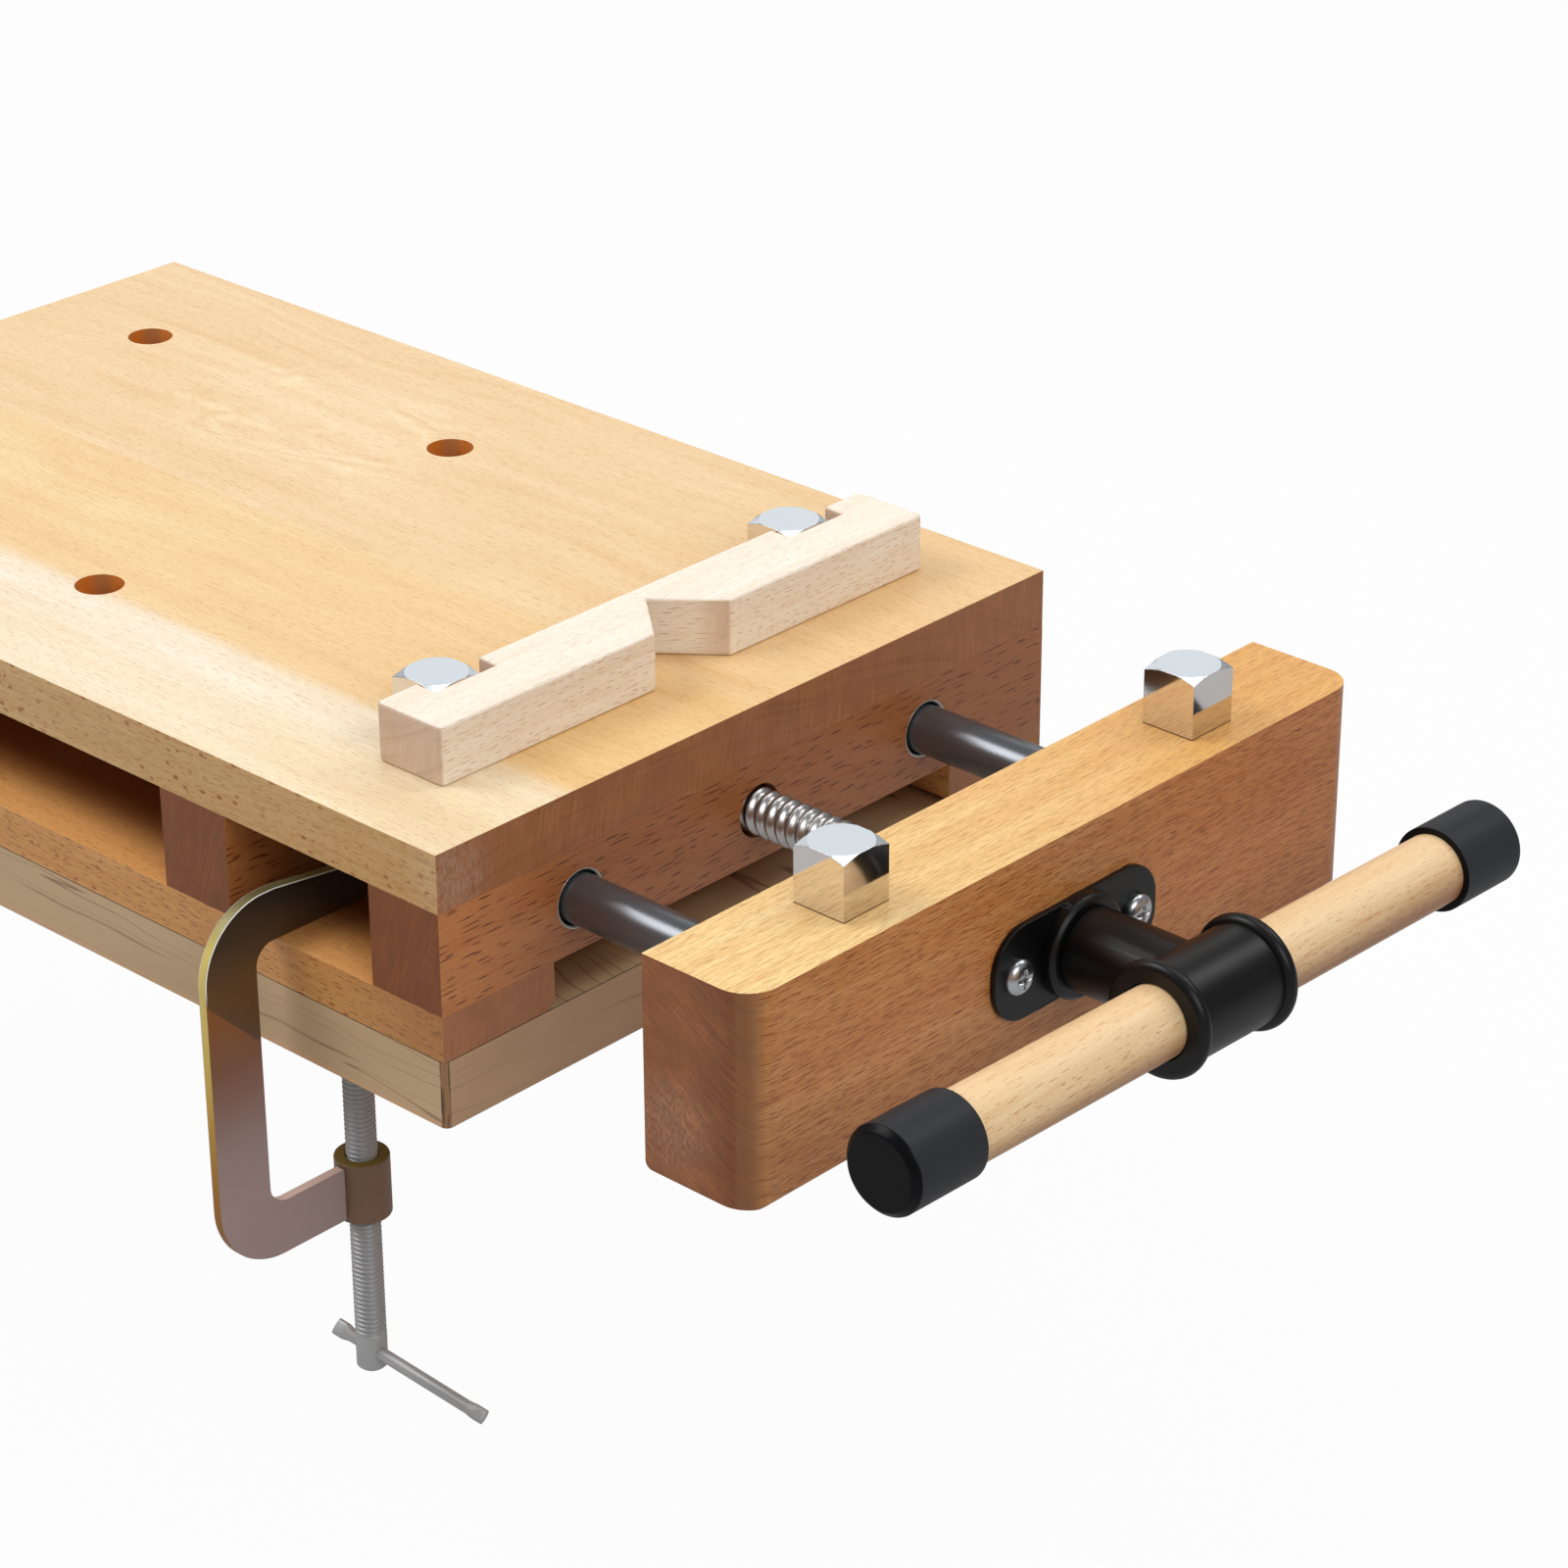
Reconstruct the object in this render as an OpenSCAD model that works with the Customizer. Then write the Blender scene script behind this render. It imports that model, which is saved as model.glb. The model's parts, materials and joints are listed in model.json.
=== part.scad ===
// Small woodworking bench with a full-width end vise, bench dogs, a stop batten and a G-clamp.
// X runs along the bench towards the vise, Y runs away from the front, Z is up.
// The origin is the middle of the base board's underside, the face that the bench rests on.

/* [Bench] */
// Length of the top board
bench_l = 510; // [470:5:700]
// Width of the top board
bench_w = 320; // [290:5:420]
// Thickness of the top board
top_t = 23; // [20:1:30]
// Height of the cross beams
beam_h = 40; // [36:1:55]
// Width of a cross beam
beam_w = 35; // [30:1:42]
// Pocket between an end beam and the inner beam beside it
pocket_l = 75; // [66:1:90]
// Thickness of the bottom rails
rail_t = 18; // [15:1:24]
// Width of the bottom rails
rail_w = 54; // [44:1:66]
// Radius of the lower inner edge of a bottom rail
rail_edge_r = 5; // [2:0.5:8]
// Thickness of the base board
board_t = 27; // [20:1:35]
// Radius of the base board's upright corners
board_corner_r = 3; // [1:0.5:8]

/* [Dog holes] */
// Diameter of a dog hole
hole_d = 19; // [18:0.5:20]
// Distance of a row of dog holes from the long edge
row_inset = 68; // [64:1:80]
// Distance of the first column of holes from the vise end's beam
near_col_gap = 35; // [28:1:40]
// Distance of the last column of holes from the far end's beam
far_col_gap = 29; // [22:1:40]

/* [Bench dogs] */
// Width of a dog's square head
dog_head_w = 22.4; // [21:0.2:25]
// Height of a dog's head
dog_head_h = 23; // [22.8:0.1:30]
// Height of the head's upright corners
dog_corner_h = 21; // [15:0.2:22.4]
// Diameter of the flat turned on top of the head
dog_flat_d = 23; // [20:0.2:28]
// Length of a dog's round shank
dog_shank_l = 28; // [22:0.5:30]
// Diameter of a dog's round shank
dog_shank_d = 18.8; // [17:0.1:18.9]

/* [Stop batten] */
// Length of the batten, across the bench
batten_l = 253; // [240:1:270]
// Width of the batten
batten_w = 33; // [28:1:45]
// Thickness of the batten
batten_t = 23; // [18:1:30]
// Width of a notch that takes a dog's head
notch_w = 29.5; // [26:0.5:34]
// Depth of a notch that takes a dog's head
notch_depth = 9.5; // [8:0.5:16]
// How much nearer to the middle a notch stands than its dog
notch_in = 0.25; // [0:0.25:3]
// Depth of the V cut for round stock
vee_depth = 24; // [10:1:26]
// Width of the V cut for round stock
vee_w = 40; // [20:1:60]
// Radius of the batten's upright corners
batten_corner_r = 2.5; // [1:0.5:6]

/* [Vise] */
// Opening of the vise as drawn
vise_gap = 99; // [20:1:140]
// Widest opening of the vise
vise_max = 150; // [145:1:160]
// Thickness of the jaw
jaw_t = 48; // [45:1:60]
// Width of the jaw
jaw_w = 324; // [300:1:420]
// Radius of the jaw's two front corners
jaw_corner_r = 13; // [2:1:20]
// Radius of the jaw's lower edges
jaw_edge_r = 3; // [1:0.5:6]
// Diameter of a guide rod
rod_d = 19; // [16:0.5:21]
// Outer diameter of a guide rod's bush
bush_d = 23; // [22.5:0.5:27]
// Depth of a guide rod's socket in the jaw
rod_seat = 30; // [20:1:36]
// Diameter of the vise screw
screw_d = 18; // [16:0.5:20]
// Pitch of the vise screw
screw_pitch = 5; // [3:0.5:6]
// Length of the nut's barrel
nut_l = 24; // [16:1:30]
// Diameter of the nut's barrel
nut_d = 32; // [28:1:34]

/* [Vise handle] */
// Distance of the handle's axis from the jaw's face
handle_reach = 57.5; // [50:0.5:80]
// Angle that the handle is turned to about the screw
handle_turn = -1.5; // [-45:0.5:45]
// Overall length of the handle with its caps
handle_l = 331; // [240:1:400]
// How far the handle is slid through its hub
handle_shift = 1; // [-60:1:60]
// Diameter of the handle's dowel
dowel_d = 26.8; // [22:0.2:28]
// Diameter of an end cap
cap_d = 32; // [30:0.5:38]
// Length of an end cap
cap_l = 34.5; // [20:0.5:40]
// Chamfer on the outer end of a cap
cap_chamfer = 2.5; // [0.5:0.5:4]
// Length of the hub's sleeve
hub_l = 53; // [42:1:70]
// Diameter of the hub's sleeve
hub_d = 37.6; // [36:0.2:44]
// Diameter of the rolled lips on the sleeve
lip_d = 42.7; // [40.5:0.1:50]
// Diameter of the hub's boss
boss_d = 31; // [28:0.5:34]
// Length of the front plate
plate_l = 87; // [82:1:110]
// Height of the front plate
plate_h = 36.5; // [32:0.5:44]
// Thickness of the front plate
plate_t = 2.5; // [2:0.5:4]
// Diameter of the raised ring on the front plate
ring_d = 39.2; // [36:0.2:44]
// Height of the raised ring above the front plate
ring_h = 5.5; // [3:0.5:8]
// Distance between the front plate's two screws
plate_screw_gap = 64; // [60:1:70]

/* [G-clamp] */
// Distance of the clamp's middle from the vise end of the bench
clamp_inset = 87; // [72:1:98]
// Thickness of the clamp's bar
clamp_t = 4.6; // [4:0.2:8]
// Width of the clamp's spine
spine_w = 24; // [18:1:28]
// Clearance between the spine and the bench
spine_gap = 10; // [5:1:20]
// Height of the upper arm at its root
arm_h = 20.5; // [16:0.5:24]
// Height of the upper arm at its tip
arm_tip_h = 15; // [10:0.5:16]
// Reach of the upper arm over the rail
arm_reach = 43; // [38:1:46]
// Height of the lower arm
foot_arm_h = 22; // [18:1:26]
// Throat below the base board
throat_h = 62; // [56:0.5:100]
// Outer radius of the clamp's corners
clamp_outer_r = 29; // [24:1:32]
// Inner radius of the clamp's corners
clamp_inner_r = 8; // [4:1:10]
// Distance of the clamp screw from the bench's front face
clamp_screw_reach = 36; // [32:1:38]
// Diameter of the clamp screw
clamp_screw_d = 12; // [10:0.5:13]
// Pitch of the clamp screw
clamp_pitch = 2; // [1.5:0.25:4]
// Diameter of the threaded collar
collar_d = 21; // [19:0.5:24]
// Height of the threaded collar
collar_h = 25; // [22:1:30]
// Length of the clamp screw from the base board to its end
clamp_screw_l = 154; // [150:1:200]
// Length of the plain end that the T-bar goes through
plain_end_l = 15; // [12:1:20]
// Diameter of the T-bar
bar_d = 5; // [4:0.5:6]
// Length of the T-bar
bar_l = 86; // [60:1:110]
// How far the T-bar is slid through the screw
bar_shift = 22; // [-22:1:22]
// Angle that the T-bar is turned to about the screw
bar_turn = -3; // [-90:1:90]
// Diameter of the swivel pad
pad_d = 22; // [18:1:26]

/* [Hidden] */

// Overrun of a cut past the face that it opens
cut = 1;
// Running clearance of a rod or screw in its bush or bearing, on the radius
run_fit = 0.05;
// Clearance of a plain bore that only lets a bar pass, on the radius
pass_fit = 1.5;
// Clearance between two pieces that move past each other
slip = 0.3;

half_l = bench_l / 2;
half_w = bench_w / 2;
beam_z = board_t + rail_t;
under_z = beam_z + beam_h;
bench_h = under_z + top_t;
axis_z = beam_z + beam_h / 2;
end_x = half_l - beam_w;
inner_x = end_x - pocket_l - beam_w;
row_y = half_w - row_inset;
near_col_x = end_x - near_col_gap;
far_col_x = far_col_gap - end_x;
hole_columns = [near_col_x, (near_col_x + far_col_x) / 2, far_col_x];

// Wood screws: shank, countersunk or pan head, lengths and where they stand in the wood
wood_screw_d = 4.5;
csk_head_d = 9;
csk_head_h = 3;
rail_screw_l = 48;
top_screw_l = 34;
counterbore_d = 11;
top_screw_bite_share = 0.65;
top_screw_y = row_y / 2;
rail_screw_y = half_w - rail_w / 2;
beam_middles = [for (x = [end_x, inner_x]) x + beam_w / 2];
screw_beams = concat(beam_middles, [for (x = beam_middles) -x]);
top_head_z = under_z + top_screw_bite_share * top_t - top_screw_l;

// Bushes
bush_chamfer = 1.5;

// Nut on the inner face of the vise end's beam
nut_plate_t = 5;
nut_plate_w = 62;
nut_plate_h = 36;
nut_plate_corner_r = 6;
nut_screw_inset = 7;
nut_screw_y = nut_plate_w / 2 - nut_screw_inset;
nut_screw_z = nut_plate_h / 2 - nut_screw_inset;
nut_screw_l = 22;
nut_x = end_x - nut_plate_t - nut_l;

// Jaw, as drawn
jaw_x = half_l + vise_gap;
jaw_face_x = jaw_x + jaw_t;
jaw_h = bench_h - board_t;
jaw_hole_play = 1.5;
travel_out = vise_max - vise_gap;
collar_seat_d = 38;
collar_seat_depth = 11;

// Guide rods
rod_x = inner_x - travel_out - slip;
stop_washer_d = 27;
stop_washer_t = 3;
stop_bolt_d = 6;
stop_bolt_l = 14;
stop_head_d = 10;
stop_head_h = 4;
lock_screw_d = 5;
lock_head_d = 10;
lock_head_h = 3;
lock_bite = 4;
lock_x = jaw_x + rod_seat / 2;

// Vise screw, its collar and its hub
nut_margin = 8;
screw_x = nut_x - travel_out - nut_margin;
thrust_washer_t = 1.5;
collar_inset = 1;
collar_x = jaw_x + collar_inset;
collar_end_x = jaw_x + collar_seat_depth - thrust_washer_t - run_fit;
thrust_collar_d = 34;
collar_pin_d = 4;
boss_x = jaw_face_x + plate_t + ring_h + slip;
hub_x = jaw_face_x + handle_reach;
screw_in_boss = 20;
screw_end_x = boss_x + screw_in_boss;
hub_pin_d = 5;
hub_pin_x = boss_x + screw_in_boss / 2;
dowel_play = 0.7;
lip_l = 6;
thread_depth_share = 0.4;
root_share = 0.35;
flank_share = 0.15;
crest_share = 0.35;

// Front plate
plate_corner_r = 16;
plate_screw_l = 30;
pan_head_d = 13.5;
pan_head_h = 4;
ring_round = 1.5;

// Handle
cap_wall = 4;
cap_fit = 0.05;

// Clamp
clamp_x = half_l - clamp_inset;
spine_y = -half_w - spine_gap - spine_w;
foot_z = -throat_h - foot_arm_h;
clamp_top_z = beam_z + arm_h;
clamp_screw_y = clamp_screw_reach - half_w;
collar_z = -throat_h - foot_arm_h / 2 - collar_h / 2;
pad_t = 4;
pad_cup_d = 17;
pad_h = 13;
ball_d = 10;
ball_z = -pad_h / 2 - pad_t / 2;
neck_d = 7;
pad_mouth_d = 8.6;
thread_top_z = -pad_h - 2 * slip;
clamp_end_z = -clamp_screw_l;
bar_z = clamp_end_z + plain_end_l / 2;
bar_play = 0.3;
bar_flat_l = 6;
bar_flat_w = 7;
bar_flat_t = 3;
bar_flat_turn = -45;
end_round = 1.5;

// Box between two corners
module block(low, high) {
    translate(low) cube(high - low);
}

// Cylinders along X, Y and Z, from one end to the other
module bar_x(x0, x1, y, z, d) {
    translate([x0, y, z]) rotate([0, 90, 0]) cylinder(h = x1 - x0, d = d, $fn = 64);
}
module bar_y(y0, y1, x, z, d) {
    translate([x, y0, z]) rotate([-90, 0, 0]) cylinder(h = y1 - y0, d = d, $fn = 64);
}
module bar_z(z0, z1, x, y, d) {
    translate([x, y, z0]) cylinder(h = z1 - z0, d = d, $fn = 64);
}

// Rectangle about the origin with true round corners
module round_rectangle(w, h, r) {
    square([w - 2 * r, h], center = true);
    square([w, h - 2 * r], center = true);
    for (i = [-1, 1], j = [-1, 1])
        translate([i * (w / 2 - r), j * (h / 2 - r)]) circle(r = r, $fn = 48);
}

// What a countersunk screw takes up: the head's cone and the shank, driven along +Z from 0
module csk_screw(d, head_d, head_h, l) {
    cylinder(h = head_h, d1 = head_d, d2 = d, $fn = 32);
    translate([0, 0, head_h]) cylinder(h = l - head_h, d = d, $fn = 32);
}

// Outline of a round bar: thread rings from 0 to count times the pitch, then its plain end
function thread_outline(r, pitch, count, plain_end) =
    let (root_r = r - thread_depth_share * pitch)
    concat([[0, 0]],
           [for (i = [0 : count - 1])
               each [[root_r, i * pitch],
                     [root_r, (i + root_share) * pitch],
                     [r, (i + root_share + flank_share) * pitch],
                     [r, (i + root_share + flank_share + crest_share) * pitch]]],
           [[root_r, count * pitch], [r, count * pitch]],
           plain_end);

module threaded_bar(d, pitch, count, plain_end) {
    rotate_extrude($fn = 48) polygon(thread_outline(d / 2, pitch, count, plain_end));
}

// Places of the screws
module at_top_screws() {
    for (x = screw_beams, y = [-top_screw_y, top_screw_y]) translate([x, y, top_head_z]) children();
}
module at_rail_screws() {
    for (x = screw_beams, y = [-rail_screw_y, rail_screw_y]) translate([x, y, board_t]) children();
}
module at_nut_screws() {
    for (i = [-1, 1], j = [-1, 1])
        translate([end_x - nut_plate_t, i * nut_screw_y, axis_z + j * nut_screw_z])
            rotate([0, 90, 0]) children();
}
module at_lock_screws() {
    for (y = [-row_y, row_y]) translate([lock_x, y, board_t]) children();
}

module top_screw_shape() {
    csk_screw(wood_screw_d, csk_head_d, csk_head_h, top_screw_l);
}
module rail_screw_shape() {
    csk_screw(wood_screw_d, csk_head_d, csk_head_h, rail_screw_l);
}
module nut_screw_shape() {
    csk_screw(wood_screw_d, csk_head_d, csk_head_h, nut_screw_l);
}
module lock_screw_shape() {
    csk_screw(lock_screw_d, lock_head_d, lock_head_h, axis_z - board_t + lock_bite);
}

module top_board() {
    color("burlywood") difference() {
        block([-half_l, -half_w, under_z], [half_l, half_w, bench_h]);
        for (x = hole_columns, y = [-row_y, row_y]) bar_z(under_z - cut, bench_h + cut, x, y, hole_d);
        at_top_screws() top_screw_shape();
    }
}

// Plain cross beam whose near face is at x0, with its screws let in from below
module cross_beam(x0) {
    difference() {
        block([x0, -half_w, beam_z], [x0 + beam_w, half_w, under_z]);
        at_top_screws() top_screw_shape();
        for (x = screw_beams, y = [-top_screw_y, top_screw_y])
            bar_z(beam_z - cut, top_head_z, x, y, counterbore_d);
        at_rail_screws() rail_screw_shape();
    }
}

// Cross beam that also carries the rods' bushes and lets the screw pass
module vise_beam(x0) {
    difference() {
        cross_beam(x0);
        for (y = [-row_y, row_y]) bar_x(x0 - cut, x0 + beam_w + cut, y, axis_z, bush_d);
        bar_x(x0 - cut, x0 + beam_w + cut, 0, axis_z, screw_d + 2 * pass_fit);
        at_nut_screws() nut_screw_shape();
    }
}

module end_beam_vise() {
    color("sienna") vise_beam(end_x);
}
module inner_beam_vise() {
    color("sienna") vise_beam(inner_x);
}
module inner_beam_far() {
    color("sienna") cross_beam(-inner_x - beam_w);
}
module end_beam_far() {
    color("sienna") cross_beam(-half_l);
}

// Rail along the front, with its lower inner edge rounded
module bottom_rail() {
    difference() {
        translate([-half_l, -half_w, board_t]) rotate([90, 0, 90]) linear_extrude(bench_l) {
            translate([0, rail_edge_r]) square([rail_w, rail_t - rail_edge_r]);
            square([rail_w - rail_edge_r, rail_t]);
            translate([rail_w - rail_edge_r, rail_edge_r]) circle(r = rail_edge_r, $fn = 48);
        }
        at_rail_screws() rail_screw_shape();
    }
}
module bottom_rail_front() {
    color("peru") bottom_rail();
}
module bottom_rail_back() {
    color("peru") mirror([0, 1, 0]) bottom_rail();
}

module base_board() {
    color("tan") linear_extrude(board_t) round_rectangle(bench_l, bench_w, board_corner_r);
}

module top_screws() {
    color("gold") at_top_screws() top_screw_shape();
}
module rail_screws() {
    color("gold") at_rail_screws() rail_screw_shape();
}

// Bush flush with both faces of its beam, its mouths chamfered
module rod_bush(x0, y) {
    bore_d = rod_d + 2 * run_fit;
    color("silver") translate([x0, y, axis_z]) rotate([0, 90, 0]) difference() {
        cylinder(h = beam_w, d = bush_d, $fn = 64);
        translate([0, 0, -cut]) cylinder(h = beam_w + 2 * cut, d = bore_d, $fn = 64);
        translate([0, 0, beam_w - bush_chamfer])
            cylinder(h = bush_chamfer, d1 = bore_d, d2 = bore_d + 2 * bush_chamfer, $fn = 64);
        cylinder(h = bush_chamfer, d1 = bore_d + 2 * bush_chamfer, d2 = bore_d, $fn = 64);
    }
}
module bush_front_end() {
    rod_bush(end_x, -row_y);
}
module bush_back_end() {
    rod_bush(end_x, row_y);
}
module bush_front_inner() {
    rod_bush(inner_x, -row_y);
}
module bush_back_inner() {
    rod_bush(inner_x, row_y);
}

module screw_nut() {
    color("dimgray") difference() {
        union() {
            translate([end_x - nut_plate_t, 0, axis_z]) rotate([90, 0, 90])
                linear_extrude(nut_plate_t) round_rectangle(nut_plate_w, nut_plate_h, nut_plate_corner_r);
            bar_x(nut_x, end_x, 0, axis_z, nut_d);
        }
        bar_x(nut_x - cut, end_x + cut, 0, axis_z, screw_d + 2 * run_fit);
        at_nut_screws() nut_screw_shape();
    }
}
module nut_screws() {
    color("silver") at_nut_screws() nut_screw_shape();
}

// Jaw: round front corners, round lower edges, sockets for the rods and holes for two dogs
module jaw_board() {
    color("chocolate") difference() {
        intersection() {
            translate([jaw_face_x - jaw_corner_r, 0, board_t]) linear_extrude(jaw_h) {
                translate([jaw_corner_r - jaw_t, -jaw_w / 2]) square([jaw_t - jaw_corner_r, jaw_w]);
                translate([0, jaw_corner_r - jaw_w / 2])
                    square([jaw_corner_r, jaw_w - 2 * jaw_corner_r]);
                for (j = [-1, 1])
                    translate([0, j * (jaw_w / 2 - jaw_corner_r)]) circle(r = jaw_corner_r, $fn = 64);
            }
            translate([jaw_x, jaw_w / 2, board_t]) rotate([90, 0, 0]) linear_extrude(jaw_w) {
                translate([0, jaw_edge_r]) square([jaw_t, jaw_h - jaw_edge_r]);
                translate([jaw_edge_r, 0]) square([jaw_t - 2 * jaw_edge_r, jaw_h]);
                for (x = [jaw_edge_r, jaw_t - jaw_edge_r])
                    translate([x, jaw_edge_r]) circle(r = jaw_edge_r, $fn = 48);
            }
        }
        for (y = [-row_y, row_y]) {
            bar_x(jaw_x - cut, jaw_x + rod_seat, y, axis_z, rod_d);
            bar_z(bench_h - dog_shank_l - jaw_hole_play, bench_h + cut, jaw_x + jaw_t / 2, y, hole_d);
        }
        bar_x(jaw_x - cut, jaw_face_x + cut, 0, axis_z, screw_d + 2 * pass_fit);
        bar_x(jaw_x - cut, jaw_x + collar_seat_depth, 0, axis_z, collar_seat_d);
        at_lock_screws() lock_screw_shape();
        at_plate_screws() plate_screw_shape();
    }
}

module guide_rod(y) {
    color("darkslategray") difference() {
        bar_x(rod_x, jaw_x + rod_seat, y, axis_z, rod_d);
        bar_x(rod_x - cut, rod_x + stop_bolt_l - stop_washer_t, y, axis_z, stop_bolt_d);
        at_lock_screws() lock_screw_shape();
    }
}
module guide_rod_front() {
    guide_rod(-row_y);
}
module guide_rod_back() {
    guide_rod(row_y);
}
module rod_lock_screws() {
    color("silver") at_lock_screws() lock_screw_shape();
}
module rod_stop_washers() {
    color("silver") for (y = [-row_y, row_y]) difference() {
        bar_x(rod_x - stop_washer_t, rod_x, y, axis_z, stop_washer_d);
        bar_x(rod_x - stop_washer_t - cut, rod_x + cut, y, axis_z, stop_bolt_d);
    }
}
module rod_stop_screws() {
    head_x = rod_x - stop_washer_t;
    color("silver") for (y = [-row_y, row_y]) {
        bar_x(head_x, head_x + stop_bolt_l, y, axis_z, stop_bolt_d);
        bar_x(head_x - stop_head_h, head_x, y, axis_z, stop_head_d);
    }
}

// Front plate with the raised ring that the screw runs in
module front_plate() {
    color("black") difference() {
        union() {
            translate([jaw_face_x, 0, axis_z]) rotate([90, 0, 90])
                linear_extrude(plate_t) round_rectangle(plate_l, plate_h, plate_corner_r);
            translate([jaw_face_x + plate_t, 0, axis_z]) rotate([0, 90, 0]) {
                cylinder(h = ring_h - ring_round, d = ring_d, $fn = 64);
                translate([0, 0, ring_h - ring_round])
                    cylinder(h = ring_round, d1 = ring_d, d2 = ring_d - 2 * ring_round, $fn = 64);
            }
        }
        bar_x(jaw_face_x - cut, boss_x + cut, 0, axis_z, screw_d + 2 * run_fit);
        at_plate_screws() plate_screw_shape();
    }
}
module at_plate_screws() {
    for (i = [-1, 1])
        translate([jaw_face_x + plate_t, i * plate_screw_gap / 2, axis_z]) children();
}
// Pan head on the plate and a shank into the jaw
module plate_screw_shape() {
    rotate([0, -90, 0]) cylinder(h = plate_screw_l, d = wood_screw_d, $fn = 32);
    rotate([0, 90, 0]) cylinder(h = pan_head_h / 2, d = pan_head_d, $fn = 48);
    translate([pan_head_h / 2, 0, 0]) rotate([0, 90, 0])
        cylinder(h = pan_head_h / 2, d1 = pan_head_d, d2 = pan_head_d / 2, $fn = 48);
}
module plate_screws() {
    color("gainsboro") at_plate_screws() plate_screw_shape();
}

// Screw: thread rings to the collar, then a plain journal through the jaw into the hub
module vise_screw() {
    turns = floor((collar_x - screw_x) / screw_pitch);
    l = screw_end_x - screw_x;
    color("silver") difference() {
        translate([screw_x, 0, axis_z]) rotate([0, 90, 0])
            threaded_bar(screw_d, screw_pitch, turns, [[screw_d / 2, l], [0, l]]);
        collar_pin_shape();
        hub_pin_shape();
    }
}
module collar_pin_shape() {
    bar_z(axis_z - thrust_collar_d / 2, axis_z + thrust_collar_d / 2,
          (collar_x + collar_end_x) / 2, 0, collar_pin_d);
}
module hub_pin_shape() {
    bar_z(axis_z - boss_d / 2, axis_z + boss_d / 2, hub_pin_x, 0, hub_pin_d);
}
module thrust_washer() {
    color("gold") difference() {
        bar_x(jaw_x + collar_seat_depth - thrust_washer_t, jaw_x + collar_seat_depth, 0, axis_z,
              collar_seat_d);
        bar_x(jaw_x, jaw_x + collar_seat_depth + cut, 0, axis_z, screw_d + 2 * slip);
    }
}
module thrust_collar() {
    color("silver") difference() {
        bar_x(collar_x, collar_end_x, 0, axis_z, thrust_collar_d);
        bar_x(collar_x - cut, collar_end_x + cut, 0, axis_z, screw_d);
        collar_pin_shape();
    }
}
module collar_pin() {
    color("gray") intersection() {
        collar_pin_shape();
        bar_x(collar_x, collar_end_x, 0, axis_z, thrust_collar_d);
    }
}

// What is turned with the handle about the screw's axis, and slid along the handle
module at_handle(shift = 0) {
    translate([hub_x, 0, axis_z]) rotate([handle_turn, 0, 0]) translate([0, shift, 0]) children();
}

// Hub: a boss along the screw and a sleeve with rolled lips along the handle
module screw_hub() {
    color("black") difference() {
        union() {
            bar_x(boss_x, hub_x, 0, axis_z, boss_d);
            at_handle() {
                bar_y(-hub_l / 2, hub_l / 2, 0, 0, hub_d);
                for (j = [-1, 1]) translate([0, j * (hub_l / 2 - lip_l / 2), 0]) hub_lip();
            }
        }
        at_handle() bar_y(-hub_l / 2 - cut, hub_l / 2 + cut, 0, 0, dowel_d + 2 * dowel_play);
        bar_x(boss_x - cut, screw_end_x, 0, axis_z, screw_d);
        hub_pin_shape();
    }
}
// Lip about the handle's axis: a ring with a half-round rim
module hub_lip() {
    lip_r = lip_d / 2 - lip_l / 2;
    rotate([90, 0, 0]) rotate_extrude($fn = 64) {
        translate([0, -lip_l / 2]) square([lip_r, lip_l]);
        translate([lip_r, 0]) circle(d = lip_l, $fn = 32);
    }
}
module hub_pin() {
    color("gray") intersection() {
        hub_pin_shape();
        bar_x(boss_x, hub_x, 0, axis_z, boss_d);
    }
}

module handle_dowel() {
    reach = handle_l / 2 - cap_wall;
    color("wheat") at_handle(handle_shift) bar_y(-reach, reach, 0, 0, dowel_d);
}
// Cap on the handle's far end: closed outside, with a chamfered rim
module handle_cap() {
    color("dimgray") at_handle(handle_shift) children();
}
module cap_shape() {
    difference() {
        translate([0, handle_l / 2 - cap_l, 0]) rotate([-90, 0, 0]) {
            cylinder(h = cap_l - cap_chamfer, d = cap_d, $fn = 64);
            translate([0, 0, cap_l - cap_chamfer])
                cylinder(h = cap_chamfer, d1 = cap_d, d2 = cap_d - 2 * cap_chamfer, $fn = 64);
        }
        bar_y(handle_l / 2 - cap_l - cut, handle_l / 2 - cap_wall, 0, 0, dowel_d + 2 * cap_fit);
    }
}
module handle_cap_near() {
    handle_cap() mirror([0, 1, 0]) cap_shape();
}
module handle_cap_far() {
    handle_cap() cap_shape();
}

// Dog standing with its head on the surface: a square head turned to a cone, on a round shank
module dog(x, y) {
    color("silver") translate([x, y, bench_h]) {
        intersection() {
            translate([-dog_head_w / 2, -dog_head_w / 2, 0])
                cube([dog_head_w, dog_head_w, dog_head_h]);
            union() {
                cylinder(h = dog_corner_h, d = dog_head_w * sqrt(2), $fn = 96);
                translate([0, 0, dog_corner_h])
                    cylinder(h = dog_head_h - dog_corner_h, d1 = dog_head_w * sqrt(2),
                             d2 = dog_flat_d, $fn = 96);
            }
        }
        translate([0, 0, -dog_shank_l]) cylinder(h = dog_shank_l, d = dog_shank_d, $fn = 64);
    }
}
module jaw_dog_front() {
    dog(jaw_x + jaw_t / 2, -row_y);
}
module jaw_dog_back() {
    dog(jaw_x + jaw_t / 2, row_y);
}
module bench_dog_front() {
    dog(near_col_x, -row_y);
}
module bench_dog_back() {
    dog(near_col_x, row_y);
}

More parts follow.
